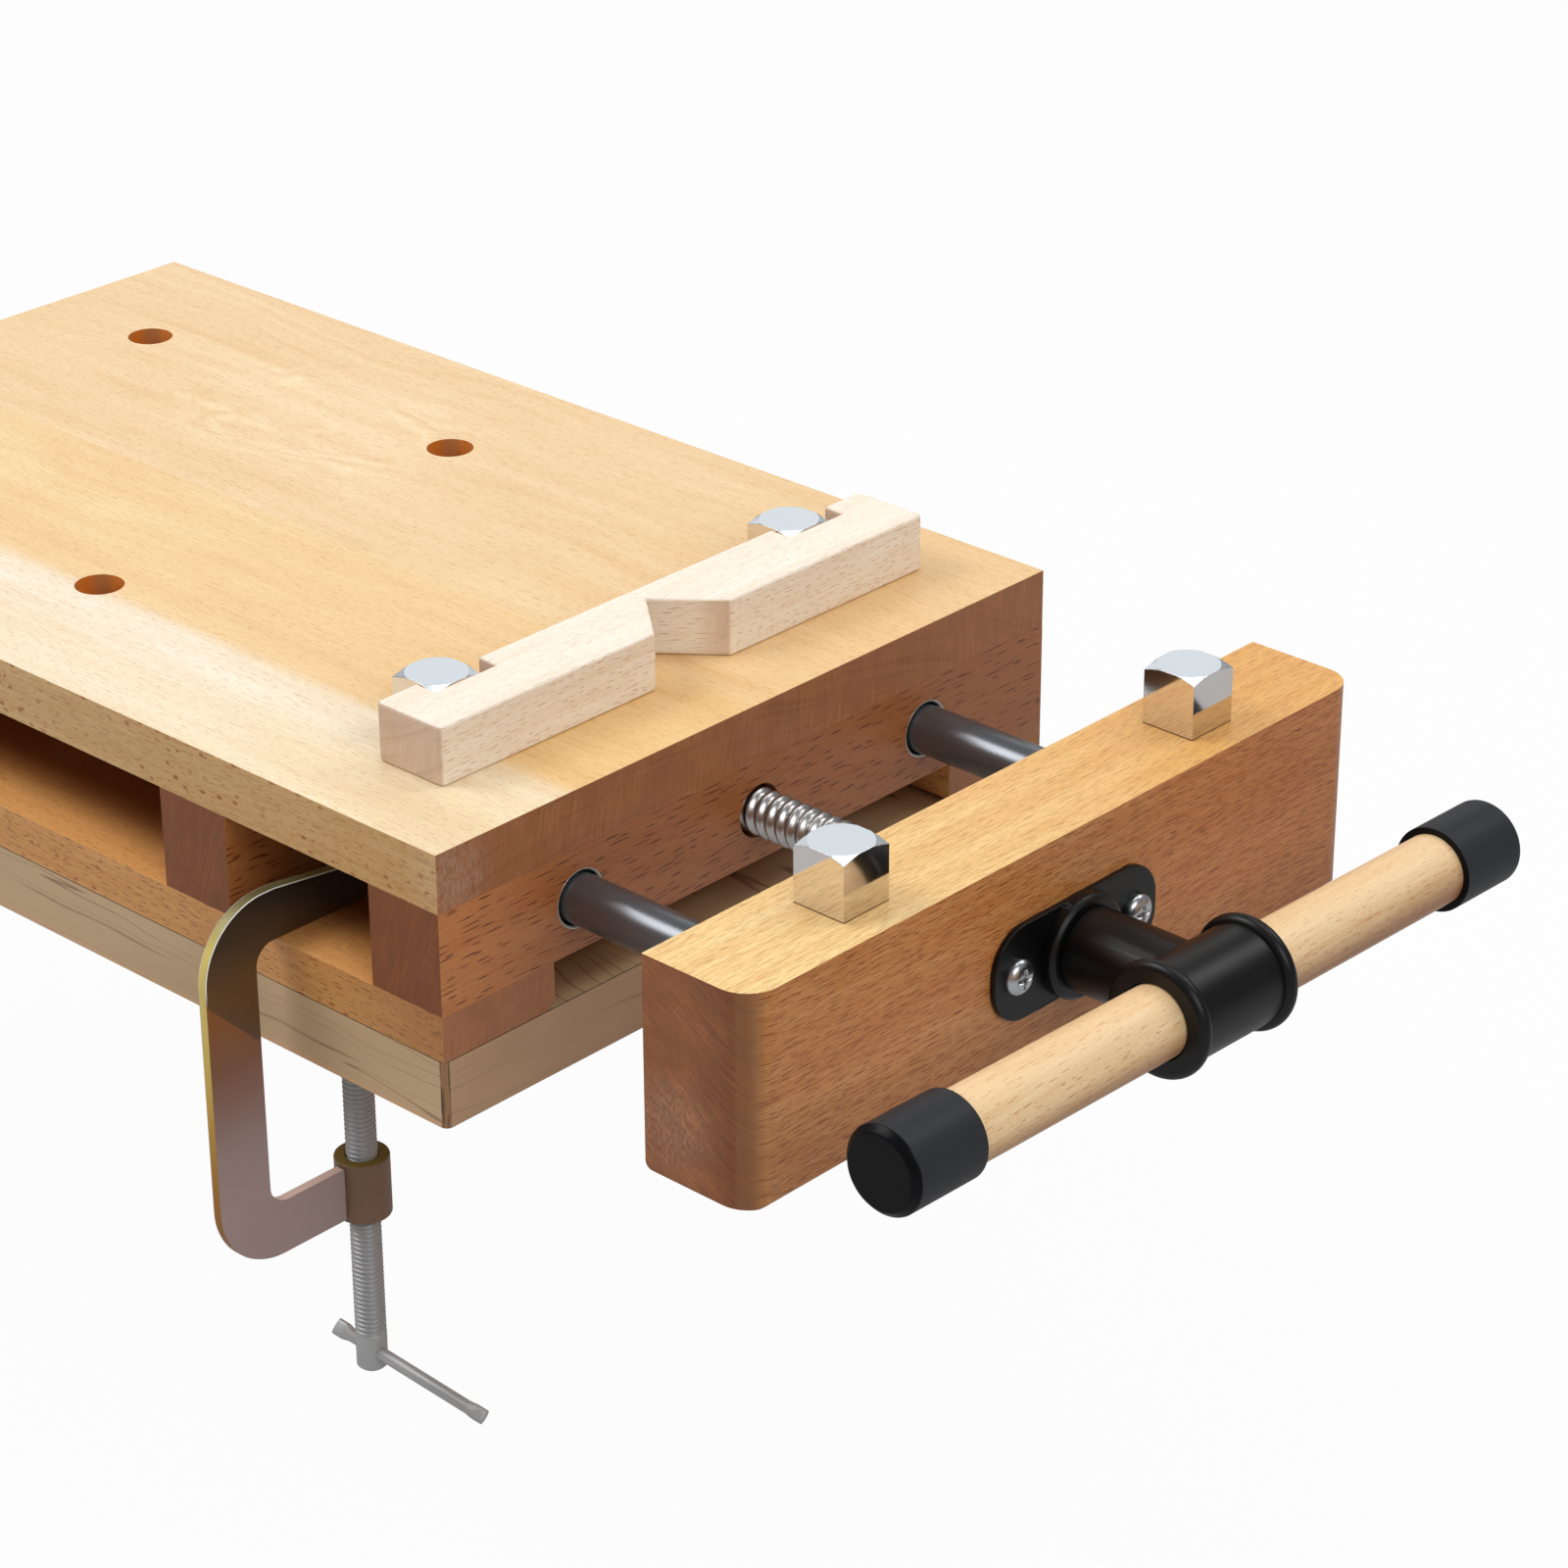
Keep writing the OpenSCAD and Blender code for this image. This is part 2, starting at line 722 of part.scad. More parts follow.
// Batten: it lies on the top against the two bench dogs, pushed up to the front one
batten_x = near_col_x + dog_head_w / 2 + slip - notch_depth;
notch_y = row_y - notch_in;
batten_y = notch_y + notch_w / 2 - row_y - dog_head_w / 2 - slip;
module stop_batten() {
    color("bisque") translate([batten_x, batten_y - batten_l / 2, bench_h])
        difference() {
            translate([batten_w / 2, batten_l / 2, 0])
                linear_extrude(batten_t) round_rectangle(batten_w, batten_l, batten_corner_r);
            for (y = [-notch_y, notch_y])
                translate([-cut, batten_l / 2 + y - notch_w / 2, -cut])
                    cube([notch_depth + cut, notch_w, batten_t + 2 * cut]);
            translate([0, batten_l / 2, -cut]) linear_extrude(batten_t + 2 * cut)
                polygon([[batten_w - vee_depth, 0],
                         [batten_w + cut, -vee_w / 2 * (vee_depth + cut) / vee_depth],
                         [batten_w + cut, vee_w / 2 * (vee_depth + cut) / vee_depth]]);
        }
}

// Region with a straight right side and round left corners, from the origin to w by h
module left_round(w, h, r) {
    translate([r, 0]) square([w - r, h]);
    translate([0, r]) square([r, h - 2 * r]);
    for (v = [r, h - r]) translate([r, v]) circle(r = r, $fn = 64);
}

// Clamp frame: a flat bar bent to a C in the upright plane, outer edge at the origin
module clamp_outline() {
    frame_h = clamp_top_z - foot_z;
    arm_l = spine_gap + spine_w + arm_reach;
    foot_l = spine_gap + spine_w + clamp_screw_reach;
    throat_l = arm_l - spine_w + cut;
    difference() {
        left_round(arm_l, frame_h, clamp_outer_r);
        translate([spine_w, foot_arm_h])
            left_round(throat_l, frame_h - foot_arm_h - arm_h, clamp_inner_r);
        translate([foot_l, -cut]) square([arm_l, foot_arm_h + 2 * cut]);
        polygon([[spine_w + spine_gap, frame_h],
                 [arm_l, frame_h - arm_h + arm_tip_h],
                 [arm_l + cut, frame_h - arm_h + arm_tip_h],
                 [arm_l + cut, frame_h + cut],
                 [spine_w + spine_gap, frame_h + cut]]);
    }
}
module clamp_frame() {
    color("saddlebrown") difference() {
        translate([clamp_x - clamp_t / 2, spine_y, foot_z]) rotate([90, 0, 90])
            linear_extrude(clamp_t) clamp_outline();
        bar_z(foot_z - cut, -throat_h + cut, clamp_x, clamp_screw_y, collar_d);
    }
}
module clamp_collar() {
    color("saddlebrown") difference() {
        bar_z(collar_z, collar_z + collar_h, clamp_x, clamp_screw_y, collar_d);
        bar_z(collar_z - cut, collar_z + collar_h + cut, clamp_x, clamp_screw_y,
              clamp_screw_d + 2 * run_fit);
    }
}
// Swivel pad against the base board, with a cup that holds the screw's ball
module clamp_pad() {
    color("silver") translate([clamp_x, clamp_screw_y, 0]) difference() {
        union() {
            translate([0, 0, -pad_t]) cylinder(h = pad_t, d = pad_d, $fn = 64);
            translate([0, 0, -pad_h]) cylinder(h = pad_h - pad_t, d = pad_cup_d, $fn = 64);
        }
        translate([0, 0, ball_z]) sphere(d = ball_d + 2 * slip, $fn = 48);
        translate([0, 0, -pad_h - cut]) cylinder(h = pad_h + cut + ball_z, d = pad_mouth_d, $fn = 48);
    }
}
module clamp_screw() {
    turns = floor((thread_top_z - clamp_end_z - plain_end_l) / clamp_pitch);
    r = clamp_screw_d / 2;
    l = thread_top_z - clamp_end_z;
    color("silver") difference() {
        translate([clamp_x, clamp_screw_y, 0]) {
            translate([0, 0, ball_z]) sphere(d = ball_d, $fn = 48);
            translate([0, 0, thread_top_z - cut])
                cylinder(h = ball_z - thread_top_z + cut, d = neck_d, $fn = 32);
            translate([0, 0, thread_top_z]) mirror([0, 0, 1])
                threaded_bar(clamp_screw_d, clamp_pitch, turns,
                             [[r, l - end_round], [r - end_round, l], [0, l]]);
        }
        at_bar() bar_x(-bar_l, bar_l, 0, 0, bar_d + 2 * bar_play);
    }
}
module at_bar(shift = 0) {
    translate([clamp_x, clamp_screw_y, bar_z]) rotate([0, 0, bar_turn]) translate([shift, 0, 0])
        children();
}
// T-bar: a round pin whose two ends are flattened so that it can't fall out
module clamp_bar() {
    round_l = bar_l / 2 - bar_flat_l;
    color("silver") at_bar(bar_shift) {
        bar_x(-round_l, round_l, 0, 0, bar_d);
        for (i = [-1, 1]) translate([i * (round_l + bar_flat_l / 2), 0, 0]) rotate([bar_flat_turn, 0, 0])
            cube([bar_flat_l, bar_flat_t, bar_flat_w], center = true);
    }
}

top_board();
end_beam_vise();
inner_beam_vise();
inner_beam_far();
end_beam_far();
bottom_rail_front();
bottom_rail_back();
base_board();
top_screws();
rail_screws();
bush_front_end();
bush_back_end();
bush_front_inner();
bush_back_inner();
screw_nut();
nut_screws();
jaw_board();
guide_rod_front();
guide_rod_back();
rod_lock_screws();
rod_stop_washers();
rod_stop_screws();
front_plate();
plate_screws();
thrust_washer();
vise_screw();
thrust_collar();
collar_pin();
screw_hub();
hub_pin();
handle_dowel();
handle_cap_near();
handle_cap_far();
jaw_dog_front();
jaw_dog_back();
bench_dog_front();
bench_dog_back();
stop_batten();
clamp_frame();
clamp_collar();
clamp_pad();
clamp_screw();
clamp_bar();
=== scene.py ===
import json
import math

import bmesh
import bpy
from mathutils import Matrix, Vector


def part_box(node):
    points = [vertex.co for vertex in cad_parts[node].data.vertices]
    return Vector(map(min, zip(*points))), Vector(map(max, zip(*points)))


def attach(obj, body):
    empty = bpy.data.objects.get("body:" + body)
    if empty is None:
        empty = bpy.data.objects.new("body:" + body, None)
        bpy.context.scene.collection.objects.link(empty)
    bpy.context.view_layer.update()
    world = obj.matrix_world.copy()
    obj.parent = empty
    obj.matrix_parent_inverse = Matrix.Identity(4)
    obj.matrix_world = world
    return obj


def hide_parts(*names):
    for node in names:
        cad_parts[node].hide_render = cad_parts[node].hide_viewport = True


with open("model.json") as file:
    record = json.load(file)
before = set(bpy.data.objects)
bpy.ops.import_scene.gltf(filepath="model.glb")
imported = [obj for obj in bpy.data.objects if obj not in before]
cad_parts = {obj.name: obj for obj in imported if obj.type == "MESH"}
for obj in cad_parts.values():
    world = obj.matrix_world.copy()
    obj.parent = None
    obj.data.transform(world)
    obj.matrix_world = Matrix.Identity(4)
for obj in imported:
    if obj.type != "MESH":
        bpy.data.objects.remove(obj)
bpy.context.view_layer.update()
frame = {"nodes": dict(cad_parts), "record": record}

MM = 0.001
nodes = frame["nodes"]
bodies = frame["record"]["behaviour"]["bodies"]
body_of = {node: body for body, members in bodies.items() for node in members}


# Camera, as fitted to the photograph: where it stands, where it looks and what is level in it
CAMERA_AT = Vector((1.26794, -1.07967, 0.81789))
CAMERA_LOOK = Vector((-0.60771, 0.65562, -0.44817)).normalized()
CAMERA_RIGHT = Vector((0.73466, 0.67843, -0.00373)).normalized()
CAMERA_LENS = 104.65
CAMERA_CLIP = 60
SENSOR = 36


def set_camera():
    data = bpy.data.cameras.new("camera")
    data.sensor_width = SENSOR
    data.lens = CAMERA_LENS
    data.clip_end = CAMERA_CLIP
    camera = bpy.data.objects.new("camera", data)
    bpy.context.scene.collection.objects.link(camera)
    right = (CAMERA_RIGHT - CAMERA_LOOK * CAMERA_RIGHT.dot(CAMERA_LOOK)).normalized()
    up = right.cross(CAMERA_LOOK)
    turn = Matrix((right, up, -CAMERA_LOOK)).transposed().to_4x4()
    camera.matrix_world = Matrix.Translation(CAMERA_AT) @ turn
    bpy.context.scene.camera = camera


class Signal:
    """A socket of a finish. Arithmetic on it adds Math nodes."""

    def __init__(self, finish, socket):
        self.finish = finish
        self.socket = socket

    def math(self, operation, *values):
        return self.finish.add("Math", {"operation": operation}, dict(enumerate(values)))

    def __add__(self, other):
        return self.math("ADD", self, other)

    def __radd__(self, other):
        return self.math("ADD", other, self)

    def __sub__(self, other):
        return self.math("SUBTRACT", self, other)

    def __rsub__(self, other):
        return self.math("SUBTRACT", other, self)

    def __mul__(self, other):
        return self.math("MULTIPLY", self, other)

    def __rmul__(self, other):
        return self.math("MULTIPLY", other, self)

    def __truediv__(self, other):
        return self.math("DIVIDE", self, other)

    def __pow__(self, other):
        return self.math("POWER", self, other)

    def __abs__(self):
        return self.math("ABSOLUTE", self)

    def __gt__(self, other):
        return self.math("GREATER_THAN", self, other)

    def __lt__(self, other):
        return self.math("LESS_THAN", self, other)


class Finish:
    """The nodes of one material, or of the room, and the surface that they end in."""

    def __init__(self, name, owner=None):
        self.owner = owner or bpy.data.materials.new(name)
        self.owner.use_nodes = True
        self.tree = self.owner.node_tree
        self.tree.nodes.clear()

    def add(self, kind, settings=None, inputs=None, output=0):
        """Adds a node: its type, its settings, then the values or links of its sockets."""
        node = self.tree.nodes.new("ShaderNode" + kind)
        for name, value in (settings or {}).items():
            if name == "stops":
                self.set_stops(node.color_ramp, value)
            else:
                setattr(node, name, value)
        for key, value in (inputs or {}).items():
            if isinstance(value, Signal):
                self.tree.links.new(value.socket, node.inputs[key])
            else:
                node.inputs[key].default_value = value
        return Signal(self, node.outputs[output]) if len(node.outputs) else None

    @staticmethod
    def set_stops(ramp, stops):
        while len(ramp.elements) < len(stops):
            ramp.elements.new(1)
        for element, (place, colour) in zip(ramp.elements, stops):
            element.position = place
            element.color = (*colour, 1)

    def other(self, signal, output):
        """Another output of the node that a signal comes from."""
        return Signal(self, signal.socket.node.outputs[output])

    def split(self, vector):
        x = self.add("SeparateXYZ", {}, {0: vector})
        return [x, self.other(x, 1), self.other(x, 2)]

    def join(self, x, y, z):
        return self.add("CombineXYZ", {}, {0: x, 1: y, 2: z})

    def vector(self, operation, first, second):
        return self.add("VectorMath", {"operation": operation}, {0: first, 1: second})

    def place(self):
        """Object coordinates in millimetres, as three numbers."""
        here = self.add("TexCoord", {}, {}, "Object")
        return self.split(self.vector("DIVIDE", here, (MM, MM, MM)))

    def facing(self):
        """The surface's direction in object coordinates, as three numbers."""
        return self.split(self.add("TexCoord", {}, {}, "Normal"))

    def angle(self, rise, run):
        """The direction of a point about an axis, in radians."""
        return self.add("Math", {"operation": "ARCTAN2"}, {0: rise, 1: run})

    def noise(self, place, reach, detail=2, rough=0.5):
        """Soft noise at a place of three numbers; reach is how far its forms run along each of them.

        Where the pattern is flat, the third number picks a slice of it, and its reach is 1.
        """
        vector = self.join(*[at / run for at, run in zip(place, reach)])
        return self.add("TexNoise", {}, {"Vector": vector, "Scale": 1, "Detail": detail, "Roughness": rough})

    def scatter(self, along, across, steps):
        """Scattered points: how far off the nearest one lies both ways, and its three random numbers."""
        cell = self.join(along / steps[0], across / steps[1], 0)
        nearest = self.add("TexVoronoi", {"voronoi_dimensions": "2D"},
                           {"Vector": cell, "Scale": 1}, "Position")
        away = self.vector("SUBTRACT", cell, nearest)
        off = self.split(self.vector("MULTIPLY", away, (*steps, 0)))
        return off, self.split(self.other(nearest, "Color"))

    def ease(self, value, low, high):
        """0 at low, 1 at high, and smooth between them."""
        return self.add("MapRange", {"interpolation_type": "SMOOTHSTEP"},
                        {"Value": value, "From Min": low, "From Max": high})

    def turned(self, n, low, high):
        """1 on the eased edges beside the faces that n looks at, where n is one part of the direction."""
        return self.ease(n * n * (1 - n * n) * 4, low, high)

    def blend(self, share, first, second, mode="MIX"):
        """Two colours mixed: the first where share is 0, the second where it is 1."""
        pair = [(*c, 1) if isinstance(c, tuple) else c for c in (first, second)]
        return self.add("Mix", {"data_type": "RGBA", "blend_type": mode},
                        {0: share, 6: pair[0], 7: pair[1]}, 2)

    def bump(self, height, strength, distance):
        return self.add("Bump", {}, {"Height": height, "Strength": strength, "Distance": distance * MM})

    def surface(self, colour, roughness, others=None):
        inputs = {"Base Color": (*colour, 1) if isinstance(colour, tuple) else colour,
                  "Roughness": roughness, **(others or {})}
        shader = self.add("BsdfPrincipled", {}, inputs)
        self.add("OutputMaterial", {}, {"Surface": shader})
        return self.owner


# Beech: the tones of its marks
RAY_TONE = (0.34, 0.20, 0.13)
SPOT_TONE = (0.60, 0.34, 0.22)
ARC_TONE = (0.40, 0.26, 0.20)
BORE_TONE = (0.72, 0.20, 0.012)
RUB_TONE = (0.75, 0.62, 0.50)

# How far each pattern of the beech runs along and across the grain, in millimetres
GRAIN_AXES = {"X": (0, 1, 2), "Y": (1, 0, 2)}
BEND_REACH = (120, 60, 60)
RING_REACH = (420, 160, 2.4)
STREAK_REACH = (150, 9, 1)
LINE_REACH = (26, 1.1, 1)
FIBRE_REACH = (6, 0.4, 0.4)
EDGE_WANDER = 9
SPOT_STEPS = (8, 5.2)
CLUSTER_REACH = (50, 16, 1)
SAW_REACH = (14, 0.85, 1)
WEFT_REACH = (0.85, 9, 1)
PATCH_REACH = (16, 16, 1)
ARC_REACH = (60, 1.6, 1)
SCUFF_REACH = (1.2, 1.2, 2.4)
BORE_MARGIN = 2

# Each stave and each face takes its pattern from another place; a softer edge than this has no glue
STAVE_SHIFT = 357
STAVE_SPREAD = 61
FACE_SHIFT = 530
GLUE_EDGE = 5

# The swirl of a figure: its rings from the middle out, how far they waver, one ring as a turn,
# and the reach of its waver and of its fading
FIGURE_RINGS = 4
FIGURE_WAVER = 7
FIGURE_TURN = 6.28
WAVER_REACH = (75, 30, 1)
FADE_REACH = (60, 34, 1)


class Board(Finish):
    """Beech on one piece: u runs along the grain, v and w across it, in millimetres.

    Its rings stand about a heart beside the piece. Each method lays one kind of mark on the colour.
    """

    def __init__(self, node, grain, heart, sway, strips, round_r):
        super().__init__(node + "_beech")
        low, high = [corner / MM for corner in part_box(node)]
        axes = GRAIN_AXES[grain]
        middle = [(low[i] + high[i]) / 2 for i in axes]
        self.reach = [high[i] for i in axes]
        self.xyz = self.place()
        normal = self.facing()
        u, v, w = [self.xyz[i] for i in axes]
        nu, nv, nw = [normal[i] for i in axes]
        self.u, self.v, self.w, self.nu = u, v, w, nu
        self.upper = self.ease(abs(normal[2]), 0.4, 0.8)
        self.end = self.ease(abs(nu), 0.45, 0.8)
        self.side = (1 - self.upper) * (1 - self.end)

        # Along and across the grain on each face, with the slow bends of the grain
        self.stave = 0
        for edge, soft, _ in strips:
            self.stave = (v > edge) * (soft < GLUE_EDGE) + self.stave
        self.along = u + self.stave * STAVE_SHIFT
        self.bend = (self.noise((self.along, v, w), BEND_REACH, 1, 0.4) - 0.5) * sway
        if round_r:
            face = self.angle(w - middle[2], v - middle[1]) * round_r
        else:
            lying = abs(nw) > abs(nv)
            face = v * lying + w * (1 - lying) + lying * FACE_SHIFT
        self.flow = face + self.bend + self.stave * STAVE_SPREAD

        # The rings: how far from the heart a point lies, and how far round it
        from_v = v + self.bend - self.stave * STAVE_SPREAD - (middle[1] + heart[0])
        from_w = w + self.bend - (middle[2] + heart[1])
        self.radius = (from_v * from_v + from_w * from_w) ** 0.5
        self.around = self.angle(from_w, from_v) * math.hypot(*heart)

        self.streak = self.noise((self.along, self.flow, 0.3), STREAK_REACH, 3, 0.55)
        self.line = self.noise((self.along, self.flow, 0.6), LINE_REACH, 2, 0.6)
        self.fibre = self.noise((self.along, v, w), FIBRE_REACH, 2, 0.6)
        self.relief = self.fibre * 0.4 + self.line * 0.2

    def colour_faces(self, tones, strips):
        top, side, end = tones
        # Where a side is darker than its top, that is partly painted shade.
        colour = self.blend(self.upper, side, top)
        for edge, soft, tone in strips:
            wander = self.v + (self.streak - 0.5) * EDGE_WANDER
            stave = self.ease(wander, edge + soft, edge - soft)
            colour = self.blend(stave * self.upper, colour, tone)
        self.colour = self.blend(self.end, colour, end)

    def draw_grain(self, rings, streaks, lines, figure):
        """Rings, streaks, lines and fibres, which warm the colour where they darken it."""
        ring = self.noise((self.along, self.around, self.radius), RING_REACH, 3, 0.6)
        lined = (self.line - 0.5) * lines * (1 - self.end) * (1 - self.upper * 0.6)
        shade = 1 + (self.streak - 0.5) * streaks + (ring - 0.5) * rings + (self.fibre - 0.5) * 0.12 + lined
        if figure:
            shade = shade + self.swirl(*figure)
        warm = self.join(shade ** 0.45, shade, shade ** 1.7)
        self.colour = self.blend(1.0, self.colour, warm, "MULTIPLY")

    def swirl(self, centre, reach, strength):
        """Closed rings about one point of the top, which fade in places."""
        off_u = (self.u - centre[0]) / reach[0]
        off_v = (self.v - centre[1]) / reach[1]
        away = (off_u ** 2 + off_v ** 2) ** 0.5
        waver = self.noise((self.u, self.v, 0.2), WAVER_REACH)
        height = away * FIGURE_RINGS + waver * FIGURE_WAVER
        contour = self.add("Math", {"operation": "SINE"}, {0: height * FIGURE_TURN})
        fold = self.ease(self.noise((self.u, self.v, 3.1), FADE_REACH, 1), 0.35, 0.65)
        return (contour * fold + 0.8) * strength * self.ease(away, 1.0, 0.45) * self.upper

    def draw_rays(self, rays, tone):
        """Short dark dashes on the long faces, fainter on the top."""
        for steps, (length, width), few, strength in rays:
            off, luck = self.scatter(self.along, self.flow, steps)
            half_l = (luck[0] * 0.9 + 0.55) * (length / 2)
            half_w = (luck[2] * 0.7 + 0.65) * (width / 2)
            lens = 1 - (off[0] / half_l) ** 2 - abs(off[1]) / half_w
            dash = self.ease(lens, 0.0, 0.45) * (luck[1] > few) * (1 - self.end) * (1 - self.upper * 0.4)
            self.colour = self.blend(dash * strength, self.colour, tone, "MULTIPLY")
            self.relief = self.relief - dash * (strength * 0.5)

    def draw_spots(self, strength):
        """Brown oval ends of rays on the long edges, in clusters."""
        off, luck = self.scatter(self.along, self.w, SPOT_STEPS)
        size = luck[0] * 0.7 + 0.35
        oval = 1 - ((off[0] * 0.62) ** 2 + off[1] ** 2) / size
        cluster = self.ease(self.noise((self.along, self.w, 0.4), CLUSTER_REACH, 1), 0.40, 0.56)
        spot = self.ease(oval, 0.0, 0.45) * (luck[1] > 0.25) * (cluster * 0.8 + 0.2) * self.side
        share = spot * strength * (luck[2] * 0.6 + 0.4)
        self.colour = self.blend(share, self.colour, SPOT_TONE, "MULTIPLY")

    def draw_end_grain(self, hatch, rings):
        """Fine lines in one direction, fainter ones across them, and dark rings."""
        slope, strength = math.radians(hatch[0]), hatch[1]
        across = self.w * math.cos(slope) + self.v * math.sin(slope)
        slant = self.w * math.sin(slope) - self.v * math.cos(slope) + self.bend
        saw = self.noise((across, slant, 0.2), SAW_REACH, 2, 0.6)
        weft = self.noise((across, slant, 0.6), WEFT_REACH, 2, 0.6)
        patch = self.ease(self.noise((across, slant, 0.1), PATCH_REACH), 0.42, 0.6)
        lines = (saw - 0.5) * (patch * 0.5 + 0.8) + (weft - 0.5) * patch * 0.4
        weave = 1 + lines * (self.end * strength)
        cloud = 1 + (patch - 0.4) * self.end * (strength * 0.1)
        shade = weave * cloud
        self.colour = self.blend(1.0, self.colour, self.join(shade, shade, shade), "MULTIPLY")
        arc = self.ease(self.noise((self.around, self.radius, 0.8), ARC_REACH), 0.54, 0.66)
        self.colour = self.blend(arc * self.end * rings, self.colour, ARC_TONE, "MULTIPLY")

    # Tints along a face; on the beams, the rails' tops and the dowel they are painted shade.
    def shade_faces(self, shades):
        faces = {"top": self.upper, "side": self.side, "end": self.end}
        for face, axis, start, full, tint in shades:
            share = self.ease(self.xyz[axis], start, full) * faces[face]
            self.colour = self.blend(share, self.colour, tint, "MULTIPLY")

    def colour_bores(self):
        """The walls of holes: whatever stands upright inside the outline of the piece."""
        within = (abs(self.u) < self.reach[0] - BORE_MARGIN) * (abs(self.v) < self.reach[1] - BORE_MARGIN)
        self.colour = self.blend(within * (1 - self.upper) * 0.8, self.colour, BORE_TONE)

    def colour_arris(self, tone, share):
        self.colour = self.blend(self.turned(self.nu, 0.3, 0.8) * share, self.colour, tone)

    def rub(self, place, reach, strength):
        """A worn place, pale and scuffed."""
        x, y, z = [here - there for here, there in zip(self.xyz, place)]
        off = (x ** 2 + y ** 2 + z ** 2) ** 0.5
        scuff = self.noise(self.xyz, SCUFF_REACH, 3, 0.7)
        worn = self.ease(1 - off / reach, 0.0, 0.8) * self.ease(scuff, 0.3, 0.8)
        self.colour = self.blend(worn * strength, self.colour, RUB_TONE)

    def wood_surface(self, rough):
        roughness = rough + (self.fibre - 0.5) * 0.12 + self.end * 0.12
        return self.surface(self.colour, roughness, {"Normal": self.bump(self.relief, 0.3, 0.05)})


def beech(node, grain, heart, tones, rays, ray_tone=RAY_TONE, rings=0.3, streaks=0.3, lines=0.6, sway=8,
          strips=(), figure=None, spots=0.0, rubs=(), corner=None, hatch=(10, 0.5), end_rings=0.1,
          shades=(), bores=False, round_r=None, rough=0.42):
    """The finish of one beech piece.

    grain is the axis that the grain follows, and heart is the middle of the rings, from the piece's
    middle. tones are the colours of the top face, the sides and the end grain. rings, streaks and lines
    are the strengths of these patterns, and sway is how far the grain bends, in millimetres.
    rays lists the kinds of dashes: their steps along and across the grain, their length and width, the
    share of them that is left out, and their strength. ray_tone is what darkens them.
    strips are the glued staves of a top: the edge of each, how soft that edge is, and the colour beyond
    it. A soft edge is no glue joint. figure is a swirl: its middle, its reach both ways, its strength.
    spots is the strength of the oval spots on the sides. rubs are worn places: where, their reach and
    their strength. corner is the colour of the arris at the end grain, and its share.
    hatch is the slant of the lines on the end grain, in degrees, and their strength. end_rings is the
    strength of the rings there. bores says that the piece has holes with coloured walls.
    shades change a face along an axis, some of them as painted shade: the face, the axis, where it
    starts, where it is full, the tint.
    round_r is the radius of a round bar, where the pattern follows the turn.
    """
    wood = Board(node, grain, heart, sway, strips, round_r)
    wood.colour_faces(tones, strips)
    wood.draw_grain(rings, streaks, lines, figure)
    wood.draw_rays(rays, ray_tone)
    if spots:
        wood.draw_spots(spots)
    wood.draw_end_grain(hatch, end_rings)
    wood.shade_faces(shades)
    if bores:
        wood.colour_bores()
    if corner:
        wood.colour_arris(*corner)
    for place, reach, strength in rubs:
        wood.rub(place, reach, strength)
    return wood.wood_surface(rough)


# Maple of the base board: its sides, ends and growth lines, and the colours at its corners and edges;
# the dark line along its top edges is painted shade in the gap under the rails
MAPLE_SIDE = (0.57, 0.39, 0.22)
MAPLE_END = (0.42, 0.235, 0.125)
MAPLE_LINE = (0.20, 0.095, 0.045)
MAPLE_JOINT = (0.33, 0.17, 0.075)
MAPLE_GLOW = (0.85, 0.42, 0.22)
MAPLE_CRACK_AND_GAP_SHADE = (0.07, 0.027, 0.011)
MAPLE_ARRIS = (0.36, 0.19, 0.08)
MAPLE_CORNER = 2.8
MAPLE_LINES = 7
MAPLE_SWAY = 14
MAPLE_GLOW_H = 4
MAPLE_GAP_SHADE_Z = 20
END_SHIFT = 700


